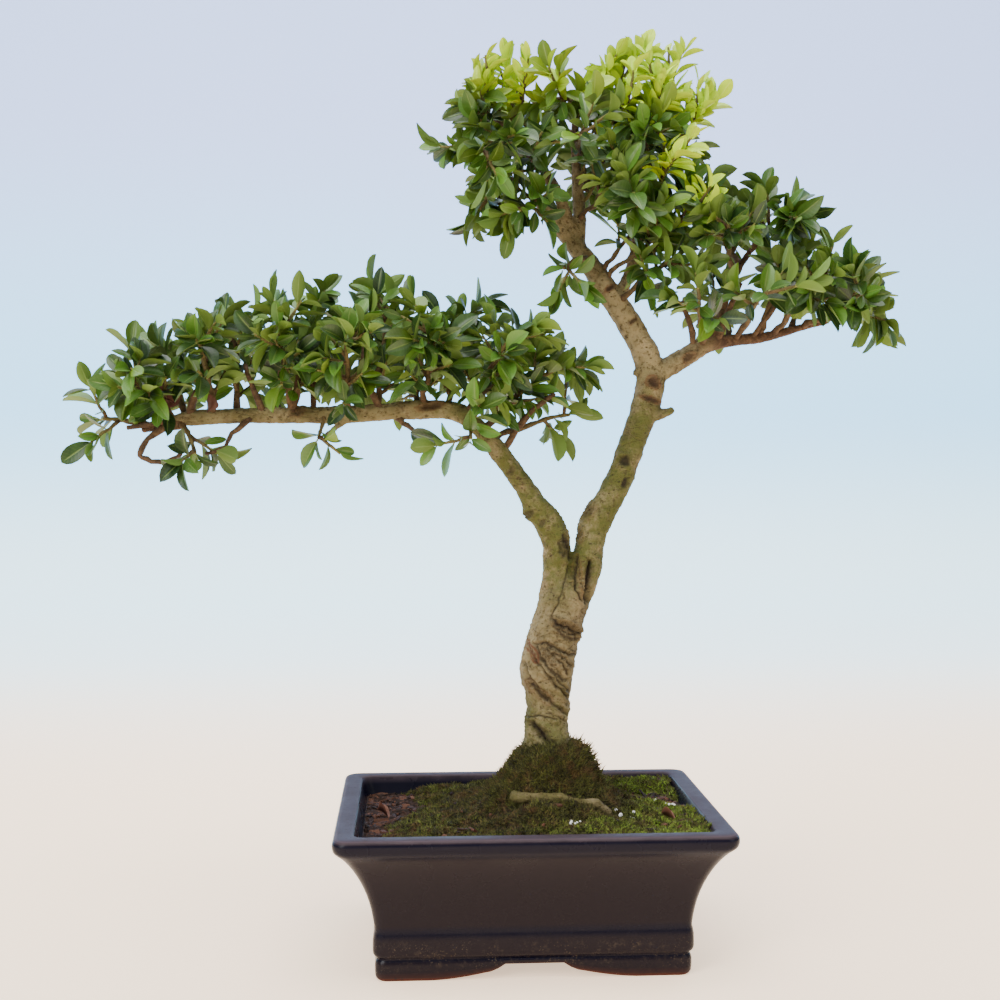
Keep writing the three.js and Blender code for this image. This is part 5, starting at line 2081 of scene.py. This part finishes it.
    leafless: tuple[tuple[Station, ...], ...] = (
        ((-160, -12, 250, 2.0), (-170, -14, 247.5, 1.6), (-176, -15, 243, 1.4), (-180, -16, 236.5, 1.3),
         (-177, -16, 233, 1.2), (-169, -17, 232, 1.2), (-163, -18, 234, 1.1), (-158.5, -18, 239, 1.0),
         (-154, -18, 243.5, 0.9)),
        ((-158, -13, 251, 1.6), (-172, -15, 250, 1.2), (-186, -16, 247.5, 1.0)),
        ((-130, -13, 252, 1.4), (-138, -16, 245, 1.1), (-141, -17, 239, 0.9), (-150, -18, 236, 0.8)),
        ((-158, -12, 252, 2.4), (-156, -14, 259, 2.0), (-153, -15, 267, 1.5)),
        ((-111, -12, 254, 2.0), (-108, -14, 266, 1.7), (-108, -15, 277, 1.5), (-114, -16, 283, 1.2),
         (-120, -16, 287, 0.9)),
        ((-108, -15, 277, 1.3), (-102, -17, 279.5, 1.0), (-98, -18, 281, 0.8)),
        ((-68, -11, 256, 2.0), (-73, -14, 263, 1.7), (-77, -16, 270, 1.5), (-77, -16, 284, 1.2),
         (-78, -16, 296, 0.9)),
        ((-124, -12, 254, 1.7), (-128, -14, 266, 1.4), (-132, -15, 277, 1.0)),
        ((-62, -10, 253, 1.5), (-57, -13, 249, 1.2), (-51, -15, 245, 1.0)),
        ((-12, -9, 236, 1.8), (-2, -12, 252, 1.6), (12, -15, 264, 1.0)),
        ((95, 13, 291, 1.9), (100, 9, 306, 1.6), (105, 6, 319, 1.1)),
        ((84, 12, 287, 1.8), (81, 8, 299, 1.5), (76, 5, 310, 1.1)),
        ((113, 13, 293, 1.5), (119, 9, 303, 1.2), (126, 7, 313, 0.9)),
    )
    caught: tuple[tuple[Triple, Triple, float, float, float], ...] = (
        ((-170, -15, 256), (0.3, -0.4, 0.85), 12.0, 6.0, 0.0),
        ((-163, -17, 258), (-0.6, -0.2, 0.5), 12.0, 6.0, 0.1),
        ((-149, -17, 255), (0.2, -0.5, 0.9), 9.0, 4.0, 0.0),
        ((-118, -17, 272), (0.5, -0.7, 0.2), 7.0, 4.0, 0.6),
        ((61.0, -24, 66.6), (0.8, -0.5, 0.1), 8.0, 4.4, 1.0),
        ((-72, 8, 63.2), (0.7, -0.6, 0.05), 8.0, 4.0, 0.5),
    )
    shapes: tuple[BladeShape, ...] = (
        BladeShape(0.18, 0.10, 0.1, 0.02, 0.8, 0.8), BladeShape(0.3, 0.13, -0.15, -0.03, 0.75, 0.7),
        BladeShape(0.1, 0.06, 0.2, 0.04, 0.9, 0.75), BladeShape(0.25, 0.18, 0.0, -0.05, 0.75, 0.85),
        BladeShape(0.4, 0.12, -0.1, 0.03, 0.85, 0.7), BladeShape(0.12, -0.04, 0.25, -0.02, 0.7, 0.6),
        BladeShape(0.2, 0.04, -0.25, 0.06, 0.8, 0.8), BladeShape(0.35, 0.2, 0.12, 0.0, 0.9, 0.65),
    )
    curled: BladeShape = BladeShape(1.1, 0.45, 0.5, 0.1, 0.9)

    def __post_init__(self) -> None:
        """Prepares the beads and the wood's stretches."""
        self.beads = Beads()
        self.starts, self.ends = self.wood.stretches()

    def outside_wood(self, points: Array) -> Array:
        """How far points are outside the wood.

        Args:
            points: The points.

        Returns:
            One distance for each.
        """
        line = self.ends[:, :3] - self.starts[:, :3]
        offset = points[:, None, :] - self.starts[None, :, :3]
        share = np.clip((offset * line).sum(axis=2) / (line * line).sum(axis=1), 0, 1)
        away = np.linalg.norm(offset - share[:, :, None] * line, axis=2)
        radius = self.starts[:, 3] + (self.ends[:, 3] - self.starts[:, 3]) * share
        return (away - radius).min(axis=1)

    def line_is_clear(self, twig: Twig, owner: str, ease: float) -> bool:
        """Whether a twig grows through nothing.

        Args:
            twig: The twig.
            owner: The spray it belongs to.
            ease: How much closer than usual it may come to others.

        Returns:
            True if it is clear.
        """
        steps = max(2, round(twig.length() / Beads.STEP))
        points = np.array([twig.at(i / steps) for i in range(1, steps + 1)])
        if (self.outside_wood(points) < Beads.TWIG_OFF_WOOD).any():
            return False
        return all(self.beads.clear(point, Beads.TWIG, owner, "", ease) for point in points[1:])

    def mark_line(self, line: "Bow | Twig", radius: float, owner: str, part: str) -> None:
        """Marks the room along a stem or twig.

        Args:
            line: The stem or twig.
            radius: Its beads' radius.
            owner: The spray it belongs to.
            part: The part of the spray.
        """
        steps = max(2, round(line.length() / Beads.STEP))
        for i in range(1, steps + 1):
            self.beads.add(line.at(i / steps), radius, owner, part)

    @staticmethod
    def kinked(spray: Spray, t: float) -> Array:
        """A point of a spray's stem, with the crooks that pruning has left low down.

        Args:
            spray: The spray.
            t: The share of the stem.

        Returns:
            The point.
        """
        point = spray.stem.at(t)
        low = math.sin(math.pi * t / 0.45) if t < 0.45 else 0.0
        wander = min(3.6, 0.09 * spray.stem.length()) * low + 0.7 * math.sin(math.pi * t)
        away = noise.noise_vector(Vector(point) * 0.1 + Vector((spray.seed * 1.7, 0.0, 0.0))) * wander
        return point + np.array(away)

    def grow_twig(
        self, spray: Spray, k: int, ease: float = 1.0, low: float = 0.0, wide: float = 1.1, rise: float = 0.4
    ) -> Twig | None:
        """One twig: it leaves the stem and turns away from it, a little upwards.

        Args:
            spray: The spray it belongs to.
            k: Which of its twigs it is.
            ease: How much closer than usual it may come to others.
            low: Where on the stem it starts, or 0 for the twig's usual place.
            wide: How far it turns away from the stem, in radians.
            rise: How strongly it turns up.

        Returns:
            The twig, or None where there is no room.
        """
        draw = Draw(SEED + spray.seed * 101 + k * 17)
        hanging = spray.stem.end[2] < spray.stem.start[2] - 0.8
        for attempt in range(self.tries):
            start = (low or self.twig_starts[k]) + mix(-0.04, 0.03, draw())
            along = spray.stem.along(start)
            side, over = crossways(along)
            turn = spray.seed + k * GOLDEN_ANGLE + attempt * 0.9 + draw()
            spread = wide * mix(0.75, 1.15, draw())
            way = along * math.cos(spread) + side * (math.sin(spread) * math.cos(turn))
            way = unit(way + over * (math.sin(spread) * math.sin(turn)) + UP * (-0.1 if hanging else rise))
            foot = self.kinked(spray, start) if low else spray.stem.at(start)
            length = mix(*self.twig_length, draw())
            twig = Twig(foot, foot + way * length, 2 * math.pi * draw())
            outside = ease < 1 and self.overgrown(spray.name, twig.end, 5.0)
            if not outside and self.line_is_clear(twig, spray.name, ease):
                return twig
        return None

    def leaf_on(
        self, twig: Twig, share: float, turn: float, size: Pair, draw: Draw, loose: float = 0.0
    ) -> Leaf:
        """The rule for a leaf's place and way on a twig.

        Args:
            twig: The twig.
            share: How far along it.
            turn: The turn about it.
            size: The shortest and the longest leaf.
            draw: The run of numbers.
            loose: How far it may droop and roll on its stalk.

        Returns:
            The leaf.
        """
        outward = twig.outward(turn)
        angle = mix(1.15, 0.3, share**2) + mix(-0.15, 0.15, draw())
        axis = unit(twig.way * math.cos(angle) + outward * math.sin(angle) + UP * 0.1)
        face = twig.way * math.sin(angle) - outward * math.cos(angle) + UP * 0.55
        face = unit(face - axis * float(face @ axis))
        length = mix(*size, draw()) * mix(1, 0.86, abs(share - 0.6))
        width = length * mix(*self.leaf_slimness, draw())
        if loose:
            width *= 0.92
            droop = UP * (loose * draw.between(-0.85, 0.3))
            axis = unit(axis + droop + twig.side * (loose * draw.between(-0.3, 0.3)))
            face = unit(face - axis * float(face @ axis))
            roll = loose * draw.between(-1.0, 1.0)
            face = face * math.cos(roll) + np.cross(axis, face) * math.sin(roll)
        return Leaf(twig.at(share), axis, face, length, width)

    def overgrown(self, owner: str, point: Array, room: float) -> bool:
        """Whether a point comes nearer than a room to the pruned outline above its spray."""
        line = self.pruned["left_pad" if owner.startswith("left") else "upper"]
        return bool(point[2] + room > np.interp(point[0], *zip(*line)))

    def leaf_fits(self, leaf: Leaf, radius: float, owner: str, part: str, ease: float) -> bool:
        """Whether a blade grows through nothing, and a finer one keeps inside the pruned outline.

        Args:
            leaf: The blade.
            radius: Its beads' radius.
            owner: The spray it belongs to.
            part: The part of the spray.
            ease: How much closer than usual it may be; below 1 for a finer one.

        Returns:
            True if it fits.
        """
        points = leaf.beads()
        if ease < 1 and self.overgrown(owner, points[-2], 0.0):
            return False
        if (self.outside_wood(points) <= Beads.LEAF_OFF_WOOD).any():
            return False
        return all(self.beads.clear(point, radius, owner, part, ease) for point in points[3:])

    def grow_leaves(
        self, spray: Spray, twig: Twig, k: int, places: Sequence[int], count: int, size: Pair,
        radius: float = Beads.LEAF, ease: float = 1.0, loose: float = 0.0,
    ) -> None:
        """The leaves of one twig; each takes the first clear way.

        Args:
            spray: The spray.
            twig: The twig.
            k: Which twig it is.
            places: Which of its places grow now.
            count: How many places there are.
            size: The shortest and the longest leaf.
            radius: The bead radius of a leaf.
            ease: How much closer than usual leaves may be.
            loose: How far they droop and roll.
        """
        draw = Draw(SEED + spray.seed * 211 + k * 31 + places[0])
        for place in places:
            share = mix(0.22, 0.94, place / (count - 1))
            for attempt in range(self.tries):
                turn = twig.roll + THIRD * (place + attempt + 0.5) + mix(-0.25, 0.25, draw())
                leaf = self.leaf_on(twig, share, turn, size, draw, loose)
                part = f"{spray.name}/{k}/{place}/{count}"
                if self.leaf_fits(leaf, radius, spray.name, part, ease):
                    for point in leaf.beads():
                        self.beads.add(point, radius, spray.name, part)
                    spray.leaves.append(leaf)
                    break

    def grow(self) -> list[Spray]:
        """Grows everything in one order, so that no spray crosses another.

        Returns:
            The sprays, the new shoots last.
        """
        sprays: list[Spray] = []

        def add(
            name: str, limb: str, place: float, head: Triple, radius: float, twigs: int = 0
        ) -> None:
            """Adds one spray with its stem.

            Args:
                name: The spray's name.
                limb: The limb it leaves.
                place: Where on it, in its points.
                head: Where the stem ends.
                radius: The stem's radius.
                twigs: How many twigs it has; a shoot has none.
            """
            root = self.wood.points_of(limb, place)[:3]
            tip = np.array(head, float)
            lift = (0.1 if tip[2] > root[2] else 0.25) * float(np.linalg.norm(tip - root))
            sprays.append(Spray(name, Bow(root, tip, lift), radius, twigs, len(sprays) + 1, twigs == 0))

        for pad, rows in self.sprays_of.items():
            for i, (limb, place, x, y, z, twigs) in enumerate(rows):
                add(f"{pad}_spray_{i + 1:02d}", limb, place, (x, y, z), 1.8, twigs)
        for i, (limb, place, x, y, z) in enumerate(self.shoots):
            add(f"new_shoot_{i + 1}", limb, place, (x, y, z), 1.1)
        solid = list(sprays)
        for spray in sprays:
            self.mark_line(spray.stem, spray.radius, spray.name, "stem")
        for spray in solid:
            for k in range(spray.wanted):
                self.sprout(spray, k, 1.0)
        for spray in solid:
            if spray.shoot:
                upper = Twig(spray.stem.at(0.5), spray.stem.end, spray.seed)
                self.grow_leaves(spray, upper, 0, range(7), 7, self.shoot_leaf_length)
            for k, twig in list(spray.twigs):
                self.grow_leaves(spray, twig, k, (2, 4, 6), 7, self.leaf_length)
        for i, (limb, place, x, y, z, twigs) in enumerate(self.extra_sprays):
            add(f"extra_spray_{i + 1}", limb, place, (x, y, z), 1.5, twigs)
        for i, (limb, place, x, y, z) in enumerate(self.extra_shoots):
            add(f"extra_shoot_{i + 1}", limb, place, (x, y, z), 1.0)
        for spray in sprays[len(solid) :]:
            self.mark_line(spray.stem, spray.radius, spray.name, "stem")
            for k in range(spray.wanted):
                self.sprout(spray, k, 0.7)
        self.fill(sprays)
        return sprays

    def sprout(self, spray: Spray, k: int, ease: float, **way: float) -> None:
        """Adds a twig to a spray where there is room.

        Args:
            spray: The spray.
            k: Which of its twigs it is.
            ease: How much closer than usual it may come to others.
            way: Where it starts and how it turns, if not as usual.
        """
        twig = self.grow_twig(spray, k, ease, **way)
        if twig is not None:
            self.mark_line(twig, Beads.TWIG, spray.name, "twig")
            spray.twigs.append((k, twig))

    def fill(self, sprays: Sequence[Spray]) -> None:
        """Grows the finer twigs, and the leaves between those that the solids have.

        Args:
            sprays: The sprays.
        """
        for spray in sprays:
            if spray.shoot:
                for k in range(4):
                    self.sprout(spray, 60 + k, 0.5, low=0.3 + 0.19 * k, wide=0.6, rise=0.9)
                continue
            if spray.name in self.sparse:
                continue
            for k in range(spray.wanted, min(len(self.twig_starts), spray.wanted + self.more_twigs)):
                self.sprout(spray, k, 0.6)
            for k, low in enumerate(self.low_starts[spray.name.split("_spray")[0]]):
                self.sprout(spray, 40 + k, 0.6, low=low, wide=0.95, rise=0.15)
        finer = (self.leaf_length[0] * 0.78, self.leaf_length[1] * 0.95)
        fine = (Beads.FINE_LEAF, Beads.FINE_EASE)
        for spray in sprays:
            size = self.fine_shoot_leaf if spray.shoot else finer
            few = spray.name in self.sparse
            loose = 0.5 if spray.shoot else 1.0
            reach = 0.5 if spray.shoot else 3.0
            tip = Twig(spray.stem.at(0.72), spray.stem.end + spray.stem.along(1.0) * reach, spray.seed)
            count = 4 if few else 8
            self.grow_leaves(spray, tip, 20, range(count), count, size, *fine, loose * 0.6)
            for k, twig in spray.twigs:
                count = 4 if few else self.more_places
                self.grow_leaves(spray, twig, k, range(count), count, size, *fine, loose)

    @staticmethod
    def blade(name: str, shape: BladeShape) -> Mesh:
        """A closed blade one long and one wide, its stalk at the origin and its tip along y.

        Args:
            name: The template's name.
            shape: How it has grown.

        Returns:
            The template.
        """
        stations = (-0.012, 0.085, 0.17, 0.31, 0.47, 0.64, 0.8, 0.93, 1.0)
        both = shape.widest + shape.blunt
        peak = shape.widest**shape.widest * shape.blunt**shape.blunt / both**both
        form = Form("tint", "new")
        for columns, below in ((4, False), (2, True)):
            before = set(form.mesh.verts)
            bmesh.ops.create_grid(form.mesh, x_segments=columns, y_segments=8, size=0.5)
            fresh = [vertex for vertex in form.mesh.verts if vertex not in before]
            for face in {face for vertex in fresh for face in vertex.link_faces}:
                for loop in face.loops:
                    s = stations[round((loop.vert.co.y + 0.5) * 8)]
                    loop[form.blade].uv = (loop.vert.co.x + 0.5 + (2.0 if below else 0.0), s)
            for vertex in fresh:
                s = stations[round((vertex.co.y + 0.5) * 8)]
                side = vertex.co.x * 2
                t = max(0.0, (s - 0.085) / 0.915)
                half = 0.5 * t**shape.widest * (1 - t) ** shape.blunt / peak if 0 < t < 1 else 0.0
                half = max(half, 0.055 if s < 0.1 else 0.0)
                flat = 0.028 * (1 - side * side)
                height = -shape.arch * s * s + shape.fold * abs(side) * half + shape.twist * side * half * s
                height += flat * (-1.0 if below else 0.55) - (0.012 if side == 0 and not below else 0.0)
                vertex.co = (side * half + shape.bend * s * s, s, height)
        bmesh.ops.remove_doubles(form.mesh, verts=form.mesh.verts[:], dist=0.0005)
        form.close()
        for edge in form.mesh.edges:
            sides = {max(loop[form.blade].uv.x for loop in face.loops) > 1.4 for face in edge.link_faces}
            if len(sides) == 2:
                edge.smooth = False
        return form.template(name)

    def stem_line(self, spray: Spray) -> list[Station]:
        """A spray's stem with the small kinks and swellings of its buds.

        Args:
            spray: The spray.

        Returns:
            The stem's line.
        """
        steps = 12
        found = []
        for i in range(steps + 1):
            t = i / steps
            point = self.kinked(spray, t)
            swell = 1 + 0.18 * math.sin(i * 2.3 + spray.seed)
            radius = mix(spray.radius, spray.radius * 0.5, t) * swell * (0.82 if spray.shoot else 0.92)
            found.append((point[0], point[1], point[2], radius))
        return found

    def dress_spray(self, spray: Spray, blades: Sequence[Mesh], finishes: Finishes) -> None:
        """Builds one spray's piece.

        Args:
            spray: The spray.
            blades: The templates of its leaves.
            finishes: The materials.
        """
        form = Form("tint", "new", "young", "green")
        shade = (1.0, 0.3) if spray.shoot else (1.0, 0.85)
        tip = (0.5, 0.95) if spray.shoot else (0.0, 0.45)
        form.tube(self.stem_line(spray), 8, 1, young=shade, green=tip)
        for _, twig in spray.twigs:
            line = []
            for i in range(6):
                kink = noise.noise_vector(Vector(twig.at(i / 5)) * 0.3) * (0.7 if 0 < i < 5 else 0.0)
                radius = mix(0.95, 0.5, i / 5) * (1.15 if i in (1, 3) else 1.0)
                line.append((*(twig.at(i / 5) + np.array(kink)), radius))
            form.tube(line, 6, 1, young=(1.0, 0.4), green=(0.0, 0.8))
        draw = Draw(SEED + spray.seed * 7)
        for leaf in spray.leaves:
            height = leaf.base[2] + 8 * leaf.axis[2]
            fresh = smooth(0.85, 1.0, draw()) * 0.12
            if spray.shoot:
                fresh = draw.between(0.8, 1.0)
            elif spray.name.startswith("crown") and height > 396:
                fresh = max(fresh, smooth(392, 416, height) * draw.between(0.1, 0.9))
            template = blades[int(draw() * len(blades)) % len(blades)]
            form.stamp(template, leaf.matrix(), tint=draw() ** 1.5, new=fresh)
        slot = Slot.NEW_LEAF if spray.shoot else Slot.LEAF
        nodes = () if spray.name.startswith("extra") else (spray.name,)
        form.piece(f"{spray.name}_leaves", slot, [finishes.leaf, finishes.bark], *nodes)

    def bare_twigs(self, blades: Sequence[Mesh], finishes: Finishes) -> None:
        """Adds the leafless twigs and the dead leaves caught in them.

        Args:
            blades: The templates of the dead leaves.
            finishes: The materials.
        """
        form = Form("tint", "new", "young")
        for line in self.leafless:
            crooked = []
            for x, y, z, radius in rounded(line, 3):
                kink = noise.noise_vector(Vector((x, y, z)) * 0.3)
                crooked.append((x + kink.x, y + kink.y, z + kink.z, radius * (1 + 0.35 * kink.x)))
            form.tube(crooked, 8, 0, young=(0.9, 0.95))
        for base, way, length, width, tint in self.caught:
            axis = unit(np.array(way, float))
            face = unit(np.cross(np.array([0.6, 0.5, 0.3]), axis) if way[2] > 0.15 else UP - axis * axis[2])
            leaf = Leaf(np.array(base, float), axis, face, length, width)
            before = len(form.mesh.faces)
            form.stamp(blades[-1], leaf.matrix(), tint=tint, new=0.0)
            form.mesh.faces.ensure_lookup_table()
            for face_made in form.mesh.faces[before:]:
                face_made.material_index = 1
        form.piece("bare_twigs", Slot.BARK, [finishes.bark, finishes.dry])

    def build(self, finishes: Finishes) -> None:
        """Grows and dresses everything.

        Args:
            finishes: The materials.
        """
        blades = [self.blade(f"blade_{i}", shape) for i, shape in enumerate(self.shapes)]
        curled = self.blade("blade_curled", self.curled)
        sprays = self.grow()
        for spray in sprays:
            self.dress_spray(spray, blades, finishes)
        self.bare_twigs([curled], finishes)
        LOG.info("leaves: %d", sum(len(spray.leaves) for spray in sprays))


# The studio.


@dataclass(frozen=True)
class Lamp:
    """A soft rectangular light."""

    name: str
    place: Triple
    target: Triple
    size: Pair
    power: float
    tint: Triple


@dataclass
class Studio:
    """The pale sweep, the soft lights and the camera."""

    eye: Triple = (-54.5, -684.0, 233.0)
    yaw: float = -0.0612
    pitch: float = 0.0281
    lens: float = 51.41
    floor_near: float = -1500.0
    floor_flat: float = 2500.0
    floor_bend: float = 800.0
    bend_radius: float = 510.0
    floor_run: float = 4600.0
    floor_half_width: float = 2600.0
    air: Colour = (0.86, 0.92, 1.0, 1.0)
    air_strength: float = 0.42
    lamps: tuple[Lamp, ...] = (
        Lamp("overhead", (0.0, -0.1, 1.5), (0.0, 0.0, 0.2), (1.8, 1.4), 46.0, (1.0, 0.99, 0.97)),
        Lamp("front_left", (-1.2, -1.3, 1.0), (0.0, 0.0, 0.2), (1.0, 1.0), 34.0, (1.0, 0.99, 0.97)),
        Lamp("front_right", (1.3, -1.1, 0.8), (0.0, 0.0, 0.2), (1.0, 1.0), 7.0, (1.0, 0.99, 0.98)),
    )

    def build(self, finishes: Finishes) -> None:
        """Sets up the stage.

        Args:
            finishes: The materials.
        """
        self.sweep(finishes)
        for lamp in self.lamps:
            self.light(lamp)
        world = bpy.context.scene.world or bpy.data.worlds.new("studio_air")
        bpy.context.scene.world = world
        world.use_nodes = True
        background = world.node_tree.nodes.get("Background")
        background.inputs["Color"].default_value = self.air
        background.inputs["Strength"].default_value = self.air_strength
        self.camera()

    def sweep(self, finishes: Finishes) -> None:
        """Lays the floor, which rises behind in one curve.

        Args:
            finishes: The materials.
        """
        form = Form()
        bmesh.ops.create_grid(form.mesh, x_segments=2, y_segments=44, size=1.0)
        for vertex in form.mesh.verts:
            run = (vertex.co.y + 1) / 2 * self.floor_run
            past = run - self.floor_flat
            turn = min(1.0, max(0.0, past / self.floor_bend)) * math.pi / 2
            y = self.floor_near + min(run, self.floor_flat) + self.bend_radius * math.sin(turn)
            z = self.bend_radius * (1 - math.cos(turn)) + max(0.0, past - self.floor_bend)
            vertex.co = (vertex.co.x * self.floor_half_width, y, z)
        form.smooth()
        bmesh.ops.transform(form.mesh, matrix=Matrix.Scale(MM, 4), verts=form.mesh.verts[:])
        floor = placed("studio_sweep", form.template("studio_sweep"))
        floor.data.materials.append(finishes.sweep)

    @staticmethod
    def light(lamp: Lamp) -> None:
        """Hangs one light.

        Args:
            lamp: The light.
        """
        data = bpy.data.lights.new(lamp.name, "AREA")
        data.shape = "RECTANGLE"
        data.size, data.size_y = lamp.size
        data.energy = lamp.power
        data.color = lamp.tint
        holder = placed(lamp.name, data)
        holder.location = lamp.place
        holder.rotation_euler = (Vector(lamp.target) - Vector(lamp.place)).to_track_quat("-Z", "Y").to_euler()

    def camera(self) -> None:
        """Sets the camera at the photograph's viewpoint."""
        data = bpy.data.cameras.new("viewpoint")
        data.lens = self.lens
        data.sensor_width = 36.0
        holder = placed("viewpoint", data)
        level = math.cos(self.pitch)
        forward = Vector((-math.sin(self.yaw) * level, math.cos(self.yaw) * level, -math.sin(self.pitch)))
        holder.location = TO_FRAME @ Vector(self.eye)
        holder.rotation_euler = forward.to_track_quat("-Z", "Y").to_euler()
        bpy.context.scene.camera = holder


def main() -> None:
    """Builds the studio and the object in order."""
    logging.basicConfig(level=logging.INFO, format="%(message)s")
    # Blender seeds its vector noise from the clock, and every run has to give the same result.
    noise.seed_set(SEED)
    finishes = Finishes()
    Studio().build(finishes)
    Pot().build(finishes)
    Ground().build(finishes)
    wood = Wood()
    wood.build(finishes)
    Foliage(wood).build(finishes)


if __name__ == "__main__":
    main()
